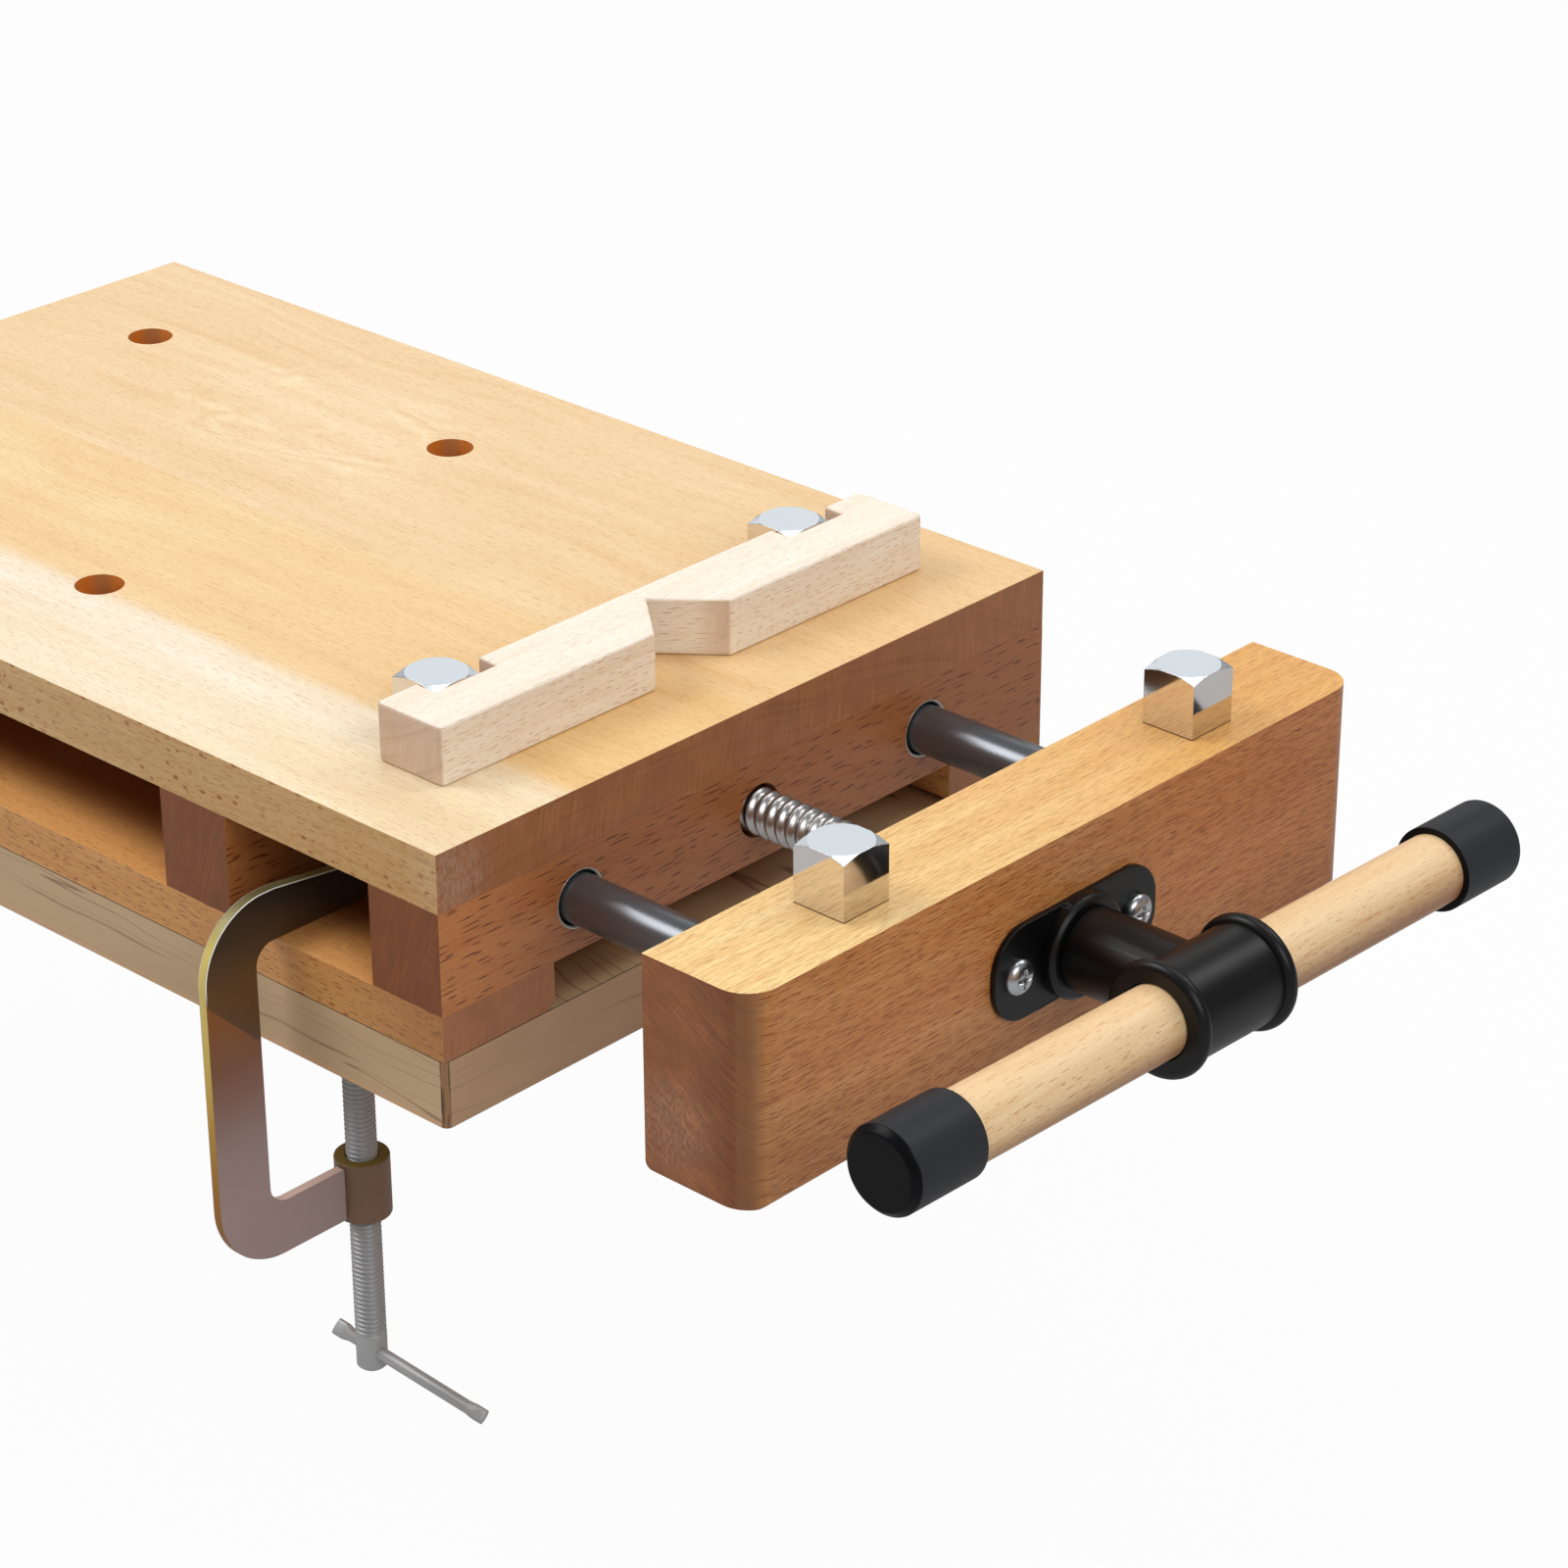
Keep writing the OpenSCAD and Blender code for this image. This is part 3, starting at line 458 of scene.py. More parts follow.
def maple(node):
    """Edge-banded maple: the grain follows each side, and the bands meet in dark lines at the corners."""
    f = Finish(node + "_maple")
    half_l, half_w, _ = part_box(node)[1] / MM
    x, y, z = f.place()
    nx, ny, nz = f.facing()
    at_end = abs(nx) > 0.7
    u = y * at_end + x * (1 - at_end) + at_end * END_SHIFT
    across = z + (1 - at_end) * y * 0.35
    wave = f.noise((u, across, at_end), (90, 30, 1))
    bed = across + (wave - 0.5) * MAPLE_SWAY
    depth = f.noise((u, bed, 0.3), (420, 8.5, 1), 1, 0.4)
    fraction = f.add("Math", {"operation": "FRACT"}, {0: depth * MAPLE_LINES})
    line = f.ease(1 - abs(fraction - 0.5) * 16, 0.0, 1.0)
    fibre = f.noise((u, across, 0.7), (12, 0.5, 1), 2, 0.6)
    cloud = f.noise((u, across, 2.1), (120, 14, 1))
    shade = 1 + (cloud - 0.5) * 0.25 + (fibre - 0.5) * 0.14
    colour = f.blend(at_end, MAPLE_SIDE, MAPLE_END)
    colour = f.blend(1.0, colour, f.join(shade, shade ** 1.1, shade ** 1.3), "MULTIPLY")
    colour = f.blend(line * (cloud * 0.7 + 0.35), colour, MAPLE_LINE)
    lower = f.ease(1 - z / MAPLE_GLOW_H, 0.0, 0.9) * (1 - at_end)
    colour = f.blend(lower * 0.3, colour, MAPLE_GLOW)
    near = f.ease(y, 40, -half_w) * at_end
    colour = f.blend(near * 0.45, colour, MAPLE_SIDE)
    joint = f.ease(abs(x), half_l - MAPLE_CORNER, half_l - MAPLE_CORNER * 0.75)
    joint = joint * f.ease(abs(y), half_w - MAPLE_CORNER, half_w - MAPLE_CORNER * 0.75)
    crack = f.ease(f.noise((x, y, z), (1.1, 1.1, 14), 1), 0.5, 0.58)
    colour = f.blend(joint, colour, f.blend(crack, MAPLE_JOINT, MAPLE_CRACK_AND_GAP_SHADE))
    colour = f.blend(f.turned(nx, 0.3, 0.8) * 0.4, colour, MAPLE_ARRIS)
    # A dark line along the board's top edges: painted shade in the gap under the rails.
    gap_shade = f.turned(nz, 0.1, 0.5) * (z > MAPLE_GAP_SHADE_Z)
    colour = f.blend(gap_shade * 0.8, colour, MAPLE_CRACK_AND_GAP_SHADE)
    return f.surface(colour, 0.45 + (fibre - 0.5) * 0.1, {"Normal": f.bump(fibre, 0.2, 0.05)})


def enamel(name, colour, rough, grit=0.5, gloss=0.25, top=None):
    """Smooth paint or moulding with faint orange peel; top is the colour of faces that look up."""
    f = Finish(name)
    here = f.place()
    peel = f.noise(here, (1.6, 1.6, 1.6))
    cloud = f.noise(here, (24, 24, 24))
    tint = f.blend(cloud, tuple(c * 0.85 for c in colour), tuple(c * 1.15 for c in colour))
    if top:
        tint = f.blend(f.ease(f.facing()[2], 0.7, 0.95), tint, top)
    return f.surface(tint, rough + (cloud - 0.5) * 0.1,
                     {"Normal": f.bump(peel, grit * 0.3, 0.05), "Specular IOR Level": gloss})


CAP_END_TONE = (0.002, 0.002, 0.003)
CAP_SIDE_AND_HIGHLIGHT_TONE = (0.029, 0.030, 0.034)


def cap_plastic(name):
    """Black moulding, duller on its side than on its end, and lighter there, partly as a painted highlight.
    """
    f = Finish(name)
    side = f.ease(1 - abs(f.facing()[1]), 0.5, 0.9)
    grain = f.noise(f.place(), (1.2, 1.2, 1.2))
    # The lighter side is partly a painted highlight.
    tint = f.blend(side, CAP_END_TONE, CAP_SIDE_AND_HIGHLIGHT_TONE)
    return f.surface(tint, 0.36 + side * 0.1 + (grain - 0.5) * 0.1,
                     {"Normal": f.bump(grain, 0.2, 0.05), "Specular IOR Level": 0.14})


def steel(name, colour, rough, lay, scratch=0.5, dust=0.1, metal=1.0):
    """Bare or plated metal. lay is the reach of its scratches along X, Y and Z in millimetres."""
    f = Finish(name)
    here = f.place()
    line = f.noise(here, lay, 3, 0.6)
    cloud = f.noise(here, (17, 17, 17))
    tint = f.blend(line * 0.6 + cloud * 0.4, tuple(c * (1 - dust) for c in colour), colour)
    return f.surface(tint, rough + (line - 0.5) * 0.2 * scratch + (cloud - 0.5) * 0.06,
                     {"Metallic": metal, "Normal": f.bump(line, scratch * 0.15, 0.02)})


BUSH_MOUTH_SHADE = (0.02, 0.02, 0.02)
BUSH_RIM_TONE = (0.62, 0.61, 0.57)
BUSH_RIM_W = 1.2


def bush_metal(name, node):
    """Turned steel with a bright rim and a mouth dark with painted shade, for bushes on both sides of the
    bench's middle.
    """
    f = Finish(name)
    low, high = [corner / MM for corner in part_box(node)]
    axis_y = abs(low.y + high.y) / 2
    axis_z = (low.z + high.z) / 2
    rim_r = (high.z - low.z) / 2 - BUSH_RIM_W
    x, y, z = f.place()
    flat = f.ease(abs(f.facing()[0]), 0.3, 0.6)
    r = ((abs(y) - axis_y) ** 2 + (z - axis_z) ** 2) ** 0.5
    turning = f.noise((x, y, z), (0.4, 9, 9))
    # The mouth is dark as painted shade in the bore.
    tint = f.blend(flat * f.ease(r, rim_r, rim_r + 0.3), BUSH_MOUTH_SHADE, BUSH_RIM_TONE)
    return f.surface(tint, 0.42 + (turning - 0.5) * 0.15,
                     {"Metallic": 1.0, "Normal": f.bump(turning, 0.1, 0.02)})


DOG_SIDE_TONE = (0.75, 0.71, 0.69)
DOG_TOP_AND_REFLECTION_TONE = (0.80, 0.88, 0.94)
DOG_GLINT_TONE = (0.92, 0.96, 1.0)
DOG_FOOT_SHADOW = (0.10, 0.05, 0.03)
DOG_FOOT_CLEAR = 0.55
DOG_FOOT_FULL = 0.3


def dog_plating(name, foot_z):
    """Bright plating: polished sides, a brushed top whose bluish tone is partly a painted reflection, and a
    painted contact shadow where the head meets the wood.
    """
    f = Finish(name)
    x, y, z = f.place()
    top = f.ease(f.facing()[2], 0.75, 0.95)
    brush = f.noise((x + y, x - y, z), (0.35, 14, 3), 3, 0.6)
    cloud = f.noise((x, y, z), (9, 9, 9))
    # The top's bluish tone is partly a painted reflection.
    tint = f.blend(top, DOG_SIDE_TONE, DOG_TOP_AND_REFLECTION_TONE)
    tint = f.blend(brush * top * 0.5, tint, DOG_GLINT_TONE)
    # A painted contact shadow where the head meets the wood.
    foot_shadow = f.ease(z, foot_z + DOG_FOOT_CLEAR, foot_z + DOG_FOOT_FULL) * (z > foot_z - 0.1)
    tint = f.blend(foot_shadow, tint, DOG_FOOT_SHADOW)
    rough = 0.07 + (cloud - 0.5) * 0.03 + top * (0.24 + brush * 0.12)
    return f.surface(tint, rough, {"Metallic": 1.0, "Normal": f.bump(brush * top, 0.12, 0.02)})


# Colours of the clamp's frame: its flat sides and its gilt outer edge down the spine, partly a painted
# reflection and darkest at the top as painted shade, the painted shade under the bench, the painted
# highlight on the ridge, and the painted highlight on the top of the lower arm
SPINE_AND_REFLECTION_STOPS = [(0.0, (0.04, 0.024, 0.012)), (0.08, (0.10, 0.048, 0.020)), (0.16, (0.20, 0.078, 0.022)),
               (0.23, (0.27, 0.095, 0.022)), (0.31, (0.25, 0.092, 0.027)), (0.41, (0.216, 0.090, 0.045)),
               (0.52, (0.258, 0.142, 0.112)), (0.66, (0.33, 0.236, 0.22)), (0.80, (0.37, 0.27, 0.255))]
GILT_AND_REFLECTION_STOPS = [(0.0, (0.12, 0.10, 0.04)), (0.05, (0.42, 0.35, 0.11)), (0.10, (0.70, 0.55, 0.16)),
              (0.29, (0.72, 0.54, 0.15)), (0.43, (0.64, 0.44, 0.09)), (0.57, (0.52, 0.29, 0.040)),
              (0.71, (0.39, 0.175, 0.019)), (0.85, (0.33, 0.125, 0.012))]
SHADE_TINT = (0.50, 0.66, 0.95)
SHADE_DEPTH = 0.228
SHADE_EDGE = 0.008
RIDGE_HIGHLIGHT_TONE = (0.95, 0.93, 0.86)
BRIGHT_TO = (0.24, 0.18)
ARM_TOP_HIGHLIGHT_TONE = (0.66, 0.49, 0.44)
ARM_FROM_Y = 12
ARM_OVER_COLLAR = 4


def bronze(name):
    """Bronze enamel, dark brown to mauve downwards, with a gilt outer edge: partly painted reflection, shade
    and highlights.
    """
    f = Finish(name)
    low, high = [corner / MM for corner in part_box("clamp_frame")]
    arm_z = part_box("clamp_collar")[1].z / MM + ARM_OVER_COLLAR
    x, y, z = f.place()
    nx, ny, nz = f.facing()
    height = high.z - low.z
    depth = (high.z - z) / height
    cloud = f.noise((x, y, z), (9, 9, 15))
    # The spine's clearing from dark brown to mauve is partly a painted reflection, darkest at the top as
    # painted shade.
    face = f.add("ValToRGB", {"stops": SPINE_AND_REFLECTION_STOPS}, {0: depth + (cloud - 0.5) * 0.02})
    # Painted shade under the bench, bounded by a slanting line.
    shaded = f.ease(depth - (y - low.y) / height, SHADE_DEPTH + SHADE_EDGE, SHADE_DEPTH)
    face = f.blend(shaded, face, SHADE_TINT, "MULTIPLY")
    # The gilt outer edge, partly a painted reflection.
    rim = f.add("ValToRGB", {"stops": GILT_AND_REFLECTION_STOPS}, {0: depth})
    edge = f.ease(1 - abs(nx), 0.35, 0.7)
    colour = f.blend(edge, face, rim)
    # A painted highlight on the top of the lower arm.
    arm_top_highlight = edge * (y > low.y + ARM_FROM_Y) * (z < arm_z) * (nz > 0.5)
    colour = f.blend(arm_top_highlight, colour, ARM_TOP_HIGHLIGHT_TONE)
    # A painted highlight line on the ridge of the bevel.
    ridge = f.turned(nx, 0.55, 0.9) * f.ease(nz - ny, 0.2, 0.5)
    colour = f.blend(ridge * f.ease(depth, *BRIGHT_TO), colour, RIDGE_HIGHLIGHT_TONE)
    peel = f.noise((x, y, z), (2, 2, 2))
    return f.surface(colour, 0.34 + (cloud - 0.5) * 0.1,
                     {"Normal": f.bump(peel, 0.12, 0.05), "Specular IOR Level": 0.3})


# Pieces made from the frame's own solids, with their sharp edges eased
WELD = 0.002 * MM
FLAT_ANGLE = math.radians(0.4)


def solid_of(node):
    """The node's mesh with its corners joined and its flat faces whole."""
    mesh = bmesh.new()
    mesh.from_mesh(nodes[node].data)
    bmesh.ops.remove_doubles(mesh, verts=mesh.verts, dist=WELD)
    bmesh.ops.dissolve_limit(mesh, angle_limit=FLAT_ANGLE, verts=mesh.verts, edges=mesh.edges)
    return mesh


def show(mesh, name, node, finish, smooth_angle=40, weighted=True):
    """Turns a mesh into a piece that stands for a node and moves with it."""
    data = bpy.data.meshes.new(name)
    mesh.to_mesh(data)
    mesh.free()
    data.materials.append(finish)
    data.shade_smooth()
    data.set_sharp_from_angle(angle=math.radians(smooth_angle))
    piece = bpy.data.objects.new(name, data)
    bpy.context.scene.collection.objects.link(piece)
    if weighted:
        modifier = piece.modifiers.new("even_shading", "WEIGHTED_NORMAL")
        modifier.keep_sharp = True
        modifier.weight = 100
    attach(piece, body_of[node])
    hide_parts(node)


def eased(node, finish, width, angle=40):
    """The node's solid with every outer edge sharper than angle rounded; width is in millimetres."""
    mesh = solid_of(node)
    edges = [e for e in mesh.edges
             if len(e.link_faces) == 2 and e.is_convex and e.calc_face_angle() > math.radians(angle)]
    bmesh.ops.bevel(mesh, geom=edges, offset=width * MM, offset_type="OFFSET", segments=2,
                    profile=0.5, affect="EDGES", clamp_overlap=True)
    show(mesh, node + "_finished", node, finish)


def paint(node, finish):
    """Gives a node of the frame its finish and keeps its shape."""
    data = nodes[node].data
    data.materials.clear()
    data.materials.append(finish)


# Solids built from rings of points
def circle(r, z, spokes):
    turns = [2 * math.pi * k / spokes for k in range(spokes)]
    return [(r * math.cos(a), r * math.sin(a), z) for a in turns]


def joined_rings(mesh, outlines):
    """Skins a row of closed outlines, each a list of points, and closes both ends."""
    rings = [[mesh.verts.new(point) for point in outline] for outline in outlines]
    for a, b in zip(rings, rings[1:]):
        for k in range(len(a)):
            mesh.faces.new((a[k], a[(k + 1) % len(a)], b[(k + 1) % len(a)], b[k]))
    mesh.faces.new(list(reversed(rings[0])))
    mesh.faces.new(rings[-1])


def turn_solid(mesh, profile, spokes):
    """Adds a solid turned about the Z axis from its outline, given as (radius, height) upwards."""
    joined_rings(mesh, [circle(r, z, spokes) for r, z in profile])


def add_mesh(mesh, other):
    """Adds another mesh's faces and frees it."""
    data = bpy.data.meshes.new("part")
    other.to_mesh(data)
    other.free()
    mesh.from_mesh(data)
    bpy.data.meshes.remove(data)


RINGS_A_TURN = 8


def threaded_rod(mesh, low, high, radius, depth, pitch, run, spokes):
    """Adds a rod about the Z axis from low to high, with a rounded right-hand thread along the run."""
    start, end = run
    count = round((end - start) / pitch * RINGS_A_TURN)
    heights = {low, high} | {start + (end - start) * i / count for i in range(count + 1)}
    outlines = []
    for z in sorted(heights):
        fade = max(0, min((z - start) / pitch, (end - z) / pitch, 1))
        outline = []
        for k, (x, y, _) in enumerate(circle(1, z, spokes)):
            wave = 0.5 + 0.5 * math.cos(2 * math.pi * (z / pitch - k / spokes))
            r = radius - depth * fade * wave
            outline.append((r * x, r * y, z))
        outlines.append(outline)
    joined_rings(mesh, outlines)


# Finishes of the beech pieces: top face, sides, end grain
# The sides of the top board, the rails and the jaw are darker and redder than their tops: partly painted
# shade
TOP_TONES = ((0.81, 0.575, 0.315), (0.64, 0.43, 0.20), (0.335, 0.132, 0.048))
BEAM_TONES = ((0.42, 0.15, 0.050), (0.50, 0.185, 0.053), (0.235, 0.067, 0.014))
RAIL_TONES = ((0.84, 0.41, 0.135), (0.66, 0.305, 0.09), (0.36, 0.145, 0.058))
JAW_TONES = ((0.87, 0.59, 0.25), (0.53, 0.215, 0.063), (0.31, 0.102, 0.029))
BATTEN_TONES = ((0.90, 0.79, 0.66), (0.88, 0.76, 0.61), (0.68, 0.50, 0.375))
DOWEL_TONES = ((0.84, 0.58, 0.315), (0.84, 0.58, 0.315), (0.50, 0.30, 0.15))

# The top's staves: where each ends, how soft that edge is, the colour beyond it; and the swirl of its figure
TOP_STRIPS = ((-3, 2.5, (0.815, 0.565, 0.28)),
              # The two pale strips at the front, with soft edges, are partly a painted sheen.
              (-96, 6, (0.86, 0.74, 0.57)),
              (-122, 14, (0.85, 0.71, 0.50)))
TOP_FIGURE = ((-62, 78), (105, 62), 0.1)

# Dashes of the rays: steps, length and width in millimetres, share left out, strength
TOP_RAYS = (((7.5, 2.1), (4.8, 0.42), 0.15, 0.95), ((3.4, 1.2), (2.2, 0.30), 0.2, 0.5))
BEAM_RAYS = (((12, 3.2), (9.0, 0.60), 0.1, 1.0), ((5.2, 2.2), (3.4, 0.38), 0.4, 0.5))
RAIL_RAYS = (((7.0, 2.2), (4.6, 0.44), 0.2, 0.85), ((3.4, 1.4), (1.9, 0.30), 0.3, 0.5))
JAW_RAYS = (((9.0, 1.5), (7.4, 0.42), 0.05, 0.95), ((4.8, 1.2), (3.4, 0.32), 0.25, 0.6))
BATTEN_RAYS = (((6.2, 2.0), (4.2, 0.38), 0.15, 0.75), ((2.8, 1.2), (1.8, 0.28), 0.3, 0.35))
DOWEL_RAYS = (((7.0, 2.4), (4.6, 0.38), 0.2, 0.7), ((3.2, 1.4), (1.9, 0.30), 0.3, 0.35))
TOP_RAY_TONE = (0.66, 0.46, 0.28)
BEAM_RAY_TONE = (0.26, 0.13, 0.07)
JAW_RAY_TONE = (0.44, 0.26, 0.14)
BATTEN_RAY_TONE = (0.55, 0.38, 0.28)
DOWEL_RAY_TONE = (0.55, 0.26, 0.15)

# Tints along a face, which on the beams, the rails' tops and the dowel are painted shade:
# the face, the axis, where it starts, where it is full, the tint
# The top board's sides darker and warmer towards the +X end, and its top too, where the painted sheen of its
# front fades.
TOP_SHADES = (("side", 0, -255, 255, (0.98, 0.83, 0.66)), ("top", 0, 60, 255, (0.98, 0.92, 0.80)))
# The beams' sides darker inwards from the front: a painted shadow.
BEAM_SHADES = (("side", 1, -156, -90, (0.67, 0.64, 0.66)),)
# The rails' tops darker deep under the bench top: painted shade. The front rail's side is also darker towards
# its +X end.
FRONT_RAIL_SHADES = (("top", 1, -152, -122, (0.24, 0.12, 0.07)), ("side", 0, 180, 255, (0.70, 0.62, 0.56)))
BACK_RAIL_SHADES = (("top", 1, 150, 116, (0.30, 0.16, 0.10)),)
JAW_SHADES = (("end", 0, 372, 400, (0.74, 0.68, 0.60)), ("top", 1, -150, 150, (0.86, 0.66, 0.42)),
              ("side", 1, -60, 150, (0.92, 0.80, 0.70)))
# The dowel darker on its underside: painted shade.
DOWEL_UNDER_SHADE = (0.42, 0.27, 0.21)
DOWEL_SHADES = (("side", 2, 72, 57, DOWEL_UNDER_SHADE), ("top", 2, 64, 57, DOWEL_UNDER_SHADE))
DOWEL_R = 13

# The arris between a side and the end grain, and the worn corners: where, their reach, their strength
ARRIS = ((0.50, 0.22, 0.075), 0.7)
JAW_ARRIS = ((0.30, 0.13, 0.045), 0.5)
TOP_RUBS = (((255, -152, 97), 24, 0.32),)
JAW_RUBS = (((366, -162, 48), 26, 0.25),)


def dress_top():
    wood = beech("top_board", "X", (-60, -300), TOP_TONES, TOP_RAYS, TOP_RAY_TONE, rings=0.24, sway=13,
                 strips=TOP_STRIPS, figure=TOP_FIGURE, spots=1.0, rubs=TOP_RUBS, corner=ARRIS,
                 hatch=(6, 0.7), end_rings=0.18, shades=TOP_SHADES, bores=True)
    eased("top_board", wood, 0.7)


def dress_beams():
    for node in ("end_beam_vise", "inner_beam_vise", "inner_beam_far", "end_beam_far"):
        wood = beech(node, "Y", (-200, 60), BEAM_TONES, BEAM_RAYS, BEAM_RAY_TONE, corner=ARRIS,
                     hatch=(20, 0.8), shades=BEAM_SHADES)
        eased(node, wood, 0.5)


def dress_rails():
    for node, shades in (("bottom_rail_front", FRONT_RAIL_SHADES), ("bottom_rail_back", BACK_RAIL_SHADES)):
        wood = beech(node, "X", (60, -200), RAIL_TONES, RAIL_RAYS, spots=1.0, corner=ARRIS, shades=shades)
        eased(node, wood, 0.5)


def dress_jaw():
    wood = beech("jaw_board", "Y", (-200, -40), JAW_TONES, JAW_RAYS, JAW_RAY_TONE, streaks=0.4, lines=1.2,
                 rubs=JAW_RUBS, corner=JAW_ARRIS, hatch=(-54, 1.2), shades=JAW_SHADES)
    eased("jaw_board", wood, 0.7)


def dress_batten():
    wood = beech("stop_batten", "Y", (-60, 120), BATTEN_TONES, BATTEN_RAYS, BATTEN_RAY_TONE, rings=0.15,
                 streaks=0.2, lines=0.4, hatch=(12, 0.3), end_rings=0.12, rough=0.6)
    eased("stop_batten", wood, 1.3)


def dress_dowel():
    wood = beech("handle_dowel", "Y", (50, 70), DOWEL_TONES, DOWEL_RAYS, DOWEL_RAY_TONE,
                 shades=DOWEL_SHADES, round_r=DOWEL_R, rough=0.46)
    paint("handle_dowel", wood)


# The vise's screw
VISE_PITCH = 5 * MM
VISE_THREAD_DEPTH = 2 * MM
VISE_RUN_OUT = 3 * MM
VISE_SPOKES = 32


def vise_screw_piece(finish):
    """A rod along X whose thread ends just before the thrust collar."""
    low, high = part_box("vise_screw")
    radius = (high.z - low.z) / 2
    thread_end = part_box("thrust_collar")[0].x - VISE_RUN_OUT
    mesh = bmesh.new()
    threaded_rod(mesh, low.x, high.x, radius, VISE_THREAD_DEPTH, VISE_PITCH, (low.x, thread_end),
                 VISE_SPOKES)
    mesh.transform(Matrix.Translation((0, 0, (low.z + high.z) / 2)) @ Matrix.Rotation(math.pi / 2, 4, "Y"))
    show(mesh, "vise_screw_thread", "vise_screw", finish, 50, False)


# The clamp's screw: its thread, its plain end, and the neck and ball that carry the pad
CLAMP_PITCH = 2 * MM
CLAMP_THREAD_DEPTH = 1.1 * MM
CLAMP_PLAIN_END = 15 * MM
CLAMP_SPOKES = 28
SCREW_END_ROUND = 1.2 * MM
PAD_GAP = 0.6 * MM
NECK_R = 3.5 * MM
NECK_IN_BALL = 0.72
BALL_R = 5 * MM
BALL_TURNS = [math.radians(degrees) for degrees in range(-42, 89, 10)]


def clamp_screw_piece(finish):
    """Ball, neck, thread and plain end; the bar passes through the plain end."""
    low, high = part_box("clamp_screw")
    radius = (high.x - low.x) / 2
    ball_z = high.z - BALL_R
    thread_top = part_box("clamp_pad")[0].z - PAD_GAP
    mesh = bmesh.new()
    threaded_rod(mesh, low.z + SCREW_END_ROUND, thread_top, radius, CLAMP_THREAD_DEPTH, CLAMP_PITCH,
                 (low.z + CLAMP_PLAIN_END, thread_top), CLAMP_SPOKES)
    tip = [(radius - SCREW_END_ROUND, low.z), (radius, low.z + SCREW_END_ROUND)]
    turn_solid(mesh, tip, CLAMP_SPOKES)
    neck = [(NECK_R, thread_top), (NECK_R, ball_z - NECK_IN_BALL * BALL_R)]
    ball = [(BALL_R * math.cos(a), ball_z + BALL_R * math.sin(a)) for a in BALL_TURNS]
    turn_solid(mesh, neck + ball, CLAMP_SPOKES)
    mesh.transform(Matrix.Translation(((low.x + high.x) / 2, (low.y + high.y) / 2, 0)))
    show(mesh, "clamp_screw_thread", "clamp_screw", finish, 50, False)


# The clamp's bar: its width and thickness where it is flat, by end, how square it is there, and its rings
# from an end inwards: how far in, how flat, and how full against its whole size
BAR_R = 2.5 * MM
BAR_SPOKES = 24
BAR_END_GAP = 0.1 * MM
BAR_FLAT_TURN = math.radians(-45)
BAR_FLATS = ((3.3 * MM, 1.35 * MM), (2.9 * MM, 1.35 * MM))
BAR_SQUARENESS = 0.45
BAR_RINGS = ((0, 1, 0.6 / 0.94), (0.5 * MM, 1, 1), (1.2 * MM, 1, 1), (4 * MM, 1, 1), (5.5 * MM, 1, 1),
             (9.5 * MM, 0, 1))


def bar_ring(along, flat, full, wide, thin):
    """One outline of the bar: a circle where flat is 0, and a turned oblong where it is 1."""
    across = (BAR_R + (wide - BAR_R) * flat) * full
    through = (BAR_R + (thin - BAR_R) * flat) * full
    power = 1 - BAR_SQUARENESS * flat
    ring = []
    for y, z, _ in circle(1, 0, BAR_SPOKES):
        py = math.copysign(abs(y) ** power, y) * through
        pz = math.copysign(abs(z) ** power, z) * across
        ring.append((along, py * math.cos(BAR_FLAT_TURN) - pz * math.sin(BAR_FLAT_TURN),
                     py * math.sin(BAR_FLAT_TURN) + pz * math.cos(BAR_FLAT_TURN)))
    return ring


def clamp_bar_piece(finish):
    """A round pin that was hammered flat at both ends."""
    low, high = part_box("clamp_bar")
    low_s, high_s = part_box("clamp_screw")
    centre = (low + high) / 2
    turn = math.atan2(centre.y - (low_s.y + high_s.y) / 2, centre.x - (low_s.x + high_s.x) / 2)
    half_l = (high.x - low.x) / 2 / math.cos(turn) - BAR_END_GAP
    rings = []
    for side, (wide, thin) in zip((-1, 1), BAR_FLATS):
        half = [bar_ring(side * (half_l - inwards), flat, full, wide, thin)
                for inwards, flat, full in BAR_RINGS]
        rings += half if side < 0 else half[::-1]
    mesh = bmesh.new()
    joined_rings(mesh, rings)
    mesh.transform(Matrix.Translation(centre) @ Matrix.Rotation(turn, 4, "Z"))
    show(mesh, "clamp_bar_pin", "clamp_bar", finish, 40, False)


# The plate's screws: domed heads with a cross recess, and pointed shanks
PAN_HEAD_H = 4 * MM
PAN_RIM_SHARE = 0.25
PAN_SPOKES = 96
PAN_STEPS = 30
PAN_SHANK_R = 2.2 * MM
PAN_POINT_L = 4 * MM
PAN_POINT_SHARE = 0.4
SHANK_SPOKES = 24
CROSS_HALF_W = 0.95 * MM
CROSS_REACH = 3.7 * MM
CROSS_DEPTH = 2.4 * MM
CROSS_EDGE = 0.35 * MM


def pan_head(radius):
    """Outlines of a domed head about the Z axis, from its rim to its middle."""
    outlines = [circle(radius * 0.97, 0, PAN_SPOKES)]
    for i in range(PAN_STEPS):
        r = radius * (1 - i / PAN_STEPS)
        dome = (1 - (r / radius) ** 3.2) ** 0.6
        z = PAN_HEAD_H * (PAN_RIM_SHARE + (1 - PAN_RIM_SHARE) * dome)
        outline = []
        for x, y, _ in circle(1, 0, PAN_SPOKES):
            along = max(abs(x), abs(y)) * r
            aside = min(abs(x), abs(y)) * r
            wall = min(max((CROSS_HALF_W - aside) / CROSS_EDGE, 0), 1)
            cut = wall * max(1 - along / CROSS_REACH, 0) ** 0.7
            outline.append((r * x, r * y, z - CROSS_DEPTH * cut))
        outlines.append(outline)
    return outlines


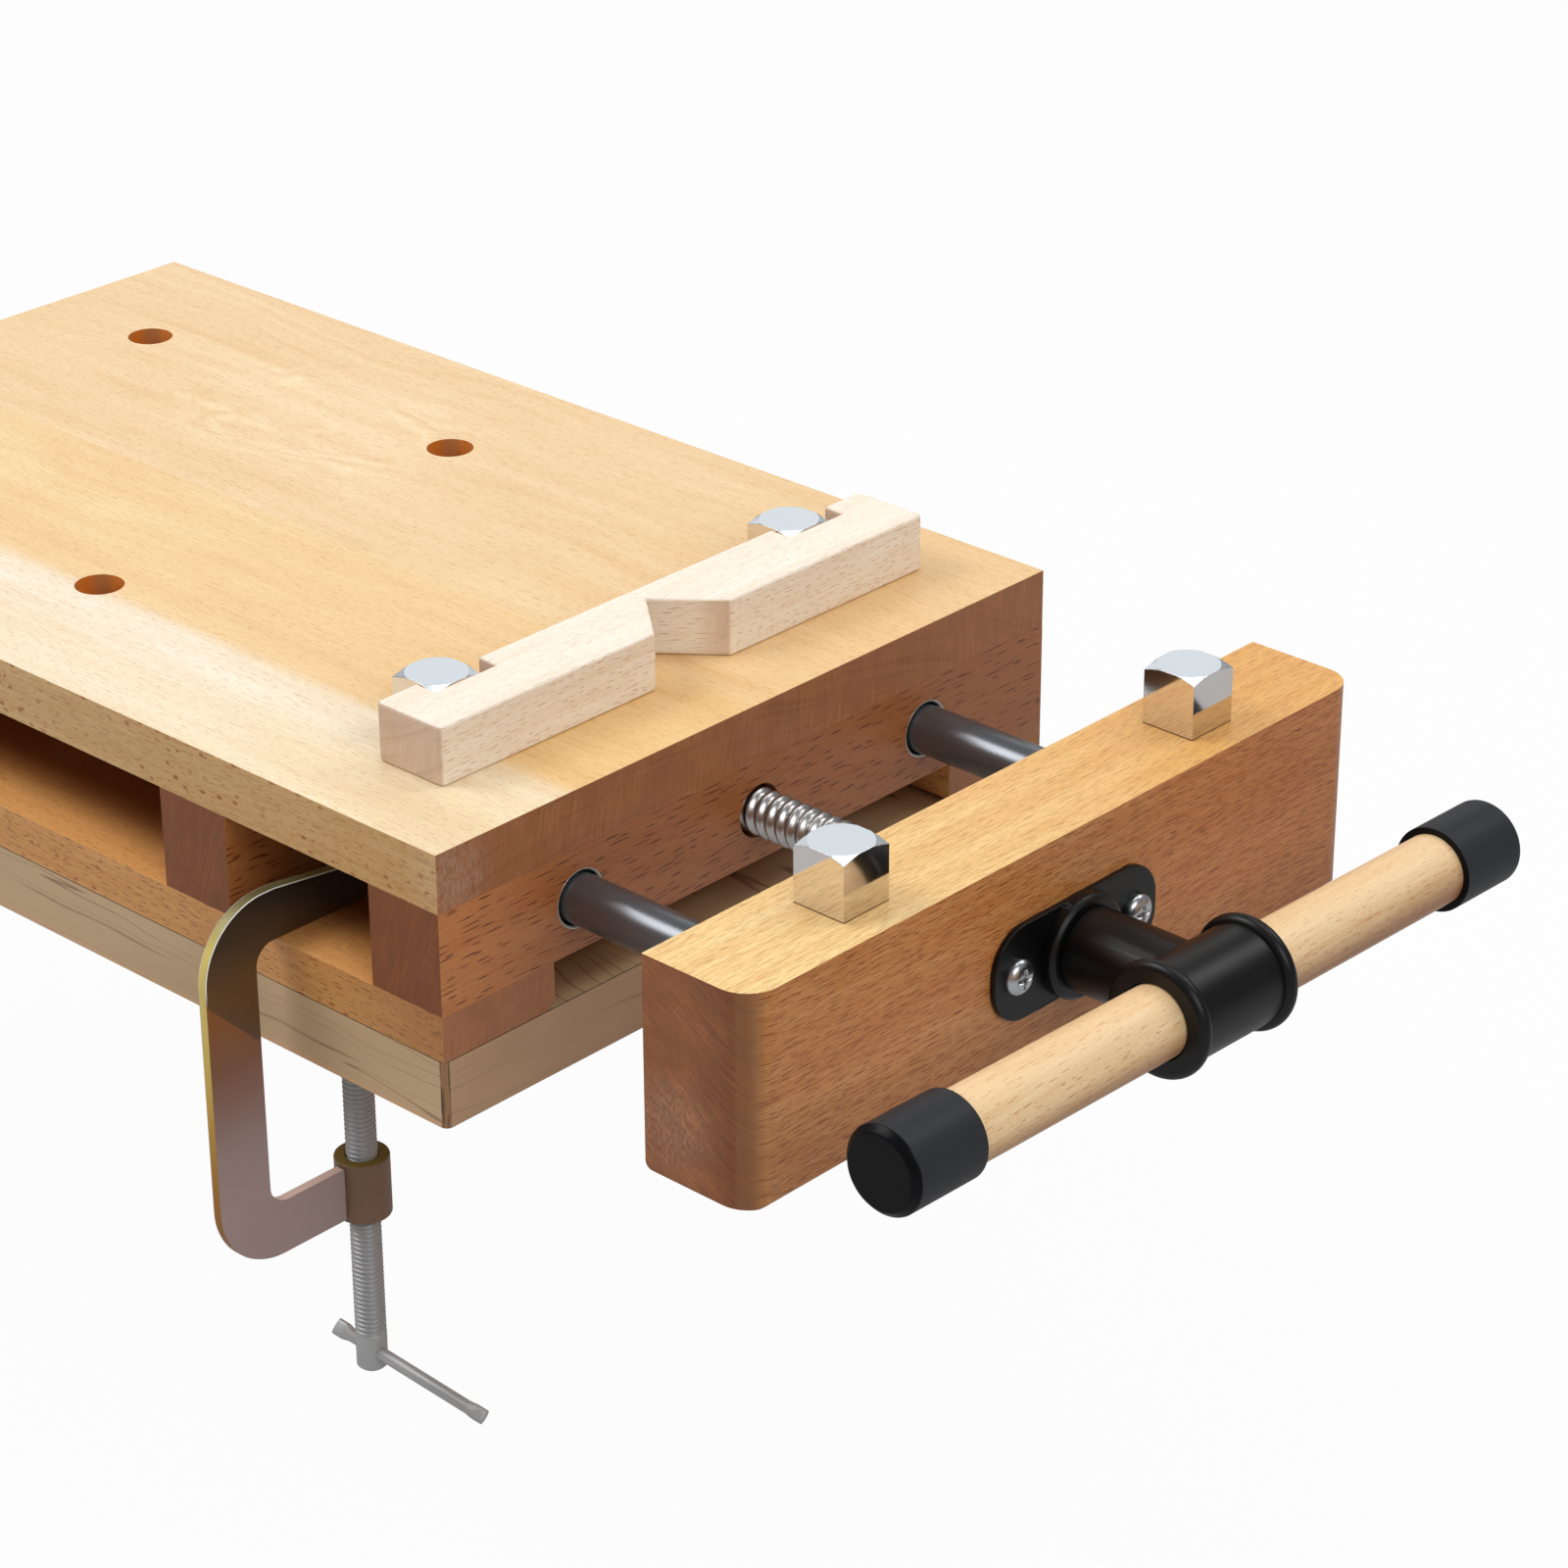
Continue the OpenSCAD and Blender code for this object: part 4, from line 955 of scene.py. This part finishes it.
def plate_screw_piece(finish):
    low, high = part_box("plate_screws")
    radius = (high.z - low.z) / 2
    seat_x = high.x - PAN_HEAD_H
    point_z = low.x - seat_x
    shank = [(PAN_POINT_SHARE * PAN_SHANK_R, point_z), (PAN_SHANK_R, point_z + PAN_POINT_L), (PAN_SHANK_R, 0)]
    mesh = bmesh.new()
    for y in (low.y + radius, high.y - radius):
        screw = bmesh.new()
        joined_rings(screw, pan_head(radius))
        turn_solid(screw, shank, SHANK_SPOKES)
        seat = Matrix.Translation((seat_x, y, (low.z + high.z) / 2))
        screw.transform(seat @ Matrix.Rotation(math.pi / 2, 4, "Y"))
        add_mesh(mesh, screw)
    show(mesh, "plate_screws_pan", "plate_screws", finish, 35, False)


# Colours of the metal and moulded pieces
BLACK = (0.0010, 0.0010, 0.0012)
ROD_STEEL = (0.172, 0.182, 0.197)
SCREW_STEEL = (0.52, 0.51, 0.50)
BRASS = (0.78, 0.58, 0.30)
NUT_IRON = (0.09, 0.085, 0.085)
BRIGHT_ZINC = (0.55, 0.565, 0.58)
DULL_ZINC = (0.47, 0.47, 0.475)
YELLOW_ZINC = (0.78, 0.64, 0.34)
COLLAR_SIDE = (0.19, 0.105, 0.062)
COLLAR_TOP = (0.17, 0.115, 0.02)
ZINC_LAY = (1.2, 1.2, 1.2)


def dress_handle():
    black = enamel("black_enamel", BLACK, 0.38, grit=0.3, gloss=0.34)
    for node in ("front_plate", "screw_hub"):
        eased(node, black, 0.5)
    paint("hub_pin", black)
    plastic = cap_plastic("cap_plastic")
    for node in ("handle_cap_near", "handle_cap_far"):
        eased(node, plastic, 0.5, 30)


def dress_dogs():
    plating = dog_plating("dog_plating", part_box("top_board")[1].z / MM)
    for node in ("jaw_dog_front", "jaw_dog_back", "bench_dog_front", "bench_dog_back"):
        eased(node, plating, 0.25, 20)


def dress_rods():
    rod = steel("rod_steel", ROD_STEEL, 0.28, (300, 7, 7), scratch=0.03, dust=0.02, metal=0.75)
    for node in ("guide_rod_front", "guide_rod_back", "collar_pin"):
        paint(node, rod)
    bush = bush_metal("bush_steel", "bush_front_end")
    for node in ("bush_front_end", "bush_back_end", "bush_front_inner", "bush_back_inner"):
        eased(node, bush, 0.5)


def dress_screws():
    screw = steel("screw_steel", SCREW_STEEL, 0.3, (6, 6, 6))
    vise_screw_piece(screw)
    paint("thrust_collar", screw)
    paint("thrust_washer", steel("washer_brass", BRASS, 0.3, (6, 0.5, 0.5)))
    paint("screw_nut", enamel("nut_iron", NUT_IRON, 0.5, grit=1.5, gloss=0.5))
    zinc = steel("bright_zinc", BRIGHT_ZINC, 0.27, ZINC_LAY, scratch=0.15)
    dull = steel("dull_zinc", DULL_ZINC, 0.42, ZINC_LAY, scratch=0.4, metal=0.35)
    clamp_screw_piece(dull)
    clamp_bar_piece(dull)
    plate_screw_piece(zinc)
    for node in ("nut_screws", "rod_lock_screws", "rod_stop_washers", "rod_stop_screws", "clamp_pad"):
        paint(node, zinc)
    yellow = steel("yellow_zinc", YELLOW_ZINC, 0.3, ZINC_LAY)
    for node in ("top_screws", "rail_screws"):
        paint(node, yellow)


def dress_clamp():
    eased("clamp_frame", bronze("clamp_bronze"), 0.8)
    collar = enamel("collar_bronze", COLLAR_SIDE, 0.36, grit=0.5, gloss=0.4, top=COLLAR_TOP)
    eased("clamp_collar", collar, 0.6)


# Room: a white surround, five soft lamps and a pale floor
FLOOR_SIZE = 9
FLOOR_TONE = (0.52, 0.52, 0.52)
CAMERA_WHITE = 0.965
GLOSS_WHITE = 0.05
SKY_LIGHT = 0.44
SKY_GLOSS = 0.26
WHITE = (1, 1, 1, 1)

# The floor lies below the lowest reach of the vise's handle and the clamp's screw, so no pose sinks into it
FLOOR_Z = -210 * MM

# Each lamp: where it hangs, where it aims, its width and height in metres, its watts
LAMPS = {"key": ((-1.1, -1.0, 1.9), (0.1, 0, 0), 1.4, 1.0, 26),
         "top": ((0.2, 0.5, 2.2), (0.1, 0, 0), 1.6, 1.2, 10),
         "back": ((-1.9, 2.0, 1.5), (0.1, 0, 0), 2.6, 1.5, 9),
         "side": ((2.3, -0.6, 1.5), (0.3, 0, 0), 1.5, 1.1, 18),
         "ridge": ((0.9, 1.5, 1.75), (0.4, 0, 0), 0.8, 0.6, 8)}


def lay_floor():
    mesh = bmesh.new()
    bmesh.ops.create_grid(mesh, x_segments=4, y_segments=4, size=FLOOR_SIZE)
    data = bpy.data.meshes.new("floor")
    mesh.to_mesh(data)
    mesh.free()
    floor = bpy.data.objects.new("floor", data)
    floor.location.z = FLOOR_Z
    bpy.context.scene.collection.objects.link(floor)
    f = Finish("floor_white")
    seen = f.add("LightPath", {}, {}, "Is Camera Ray")
    gloss = f.other(seen, "Is Glossy Ray") + f.other(seen, "Is Transmission Ray")
    paper = f.add("BsdfDiffuse", {}, {"Color": (*FLOOR_TONE, 1)})
    glow = f.add("Emission", {}, {"Color": WHITE, "Strength": 1.0})
    share = seen * CAMERA_WHITE + gloss * GLOSS_WHITE
    f.add("OutputMaterial", {}, {"Surface": f.add("MixShader", {}, {0: share, 1: paper, 2: glow})})
    data.materials.append(f.owner)


def light_room():
    """A white surround: plain white to the eye, softer as light."""
    world = bpy.data.worlds.new("room")
    bpy.context.scene.world = world
    f = Finish("room", world)
    ray = f.add("LightPath", {}, {}, "Is Camera Ray")
    sky = f.add("Background", {}, {"Color": WHITE, "Strength": SKY_LIGHT})
    for strength, kind in ((SKY_GLOSS, "Is Glossy Ray"), (1, "Is Transmission Ray"), (1, "Is Camera Ray")):
        other = f.add("Background", {}, {"Color": WHITE, "Strength": strength})
        sky = f.add("MixShader", {}, {0: f.other(ray, kind), 1: sky, 2: other})
    f.add("OutputWorld", {}, {"Surface": sky})


def soft_lamp(name, at, aim, width, height, watts):
    data = bpy.data.lights.new(name, "AREA")
    data.shape = "RECTANGLE"
    data.size = width
    data.size_y = height
    data.energy = watts
    lamp = bpy.data.objects.new(name, data)
    lamp.location = at
    lamp.rotation_euler = (Vector(aim) - Vector(at)).to_track_quat("-Z", "Y").to_euler()
    bpy.context.scene.collection.objects.link(lamp)


set_camera()
dress_top()
dress_beams()
dress_rails()
eased("base_board", maple("base_board"), 0.6)
dress_jaw()
dress_batten()
dress_dowel()
dress_handle()
dress_dogs()
dress_rods()
dress_screws()
dress_clamp()
lay_floor()
light_room()
for lamp_name, setting in LAMPS.items():
    soft_lamp(lamp_name, *setting)
bpy.context.scene.view_settings.view_transform = "Standard"
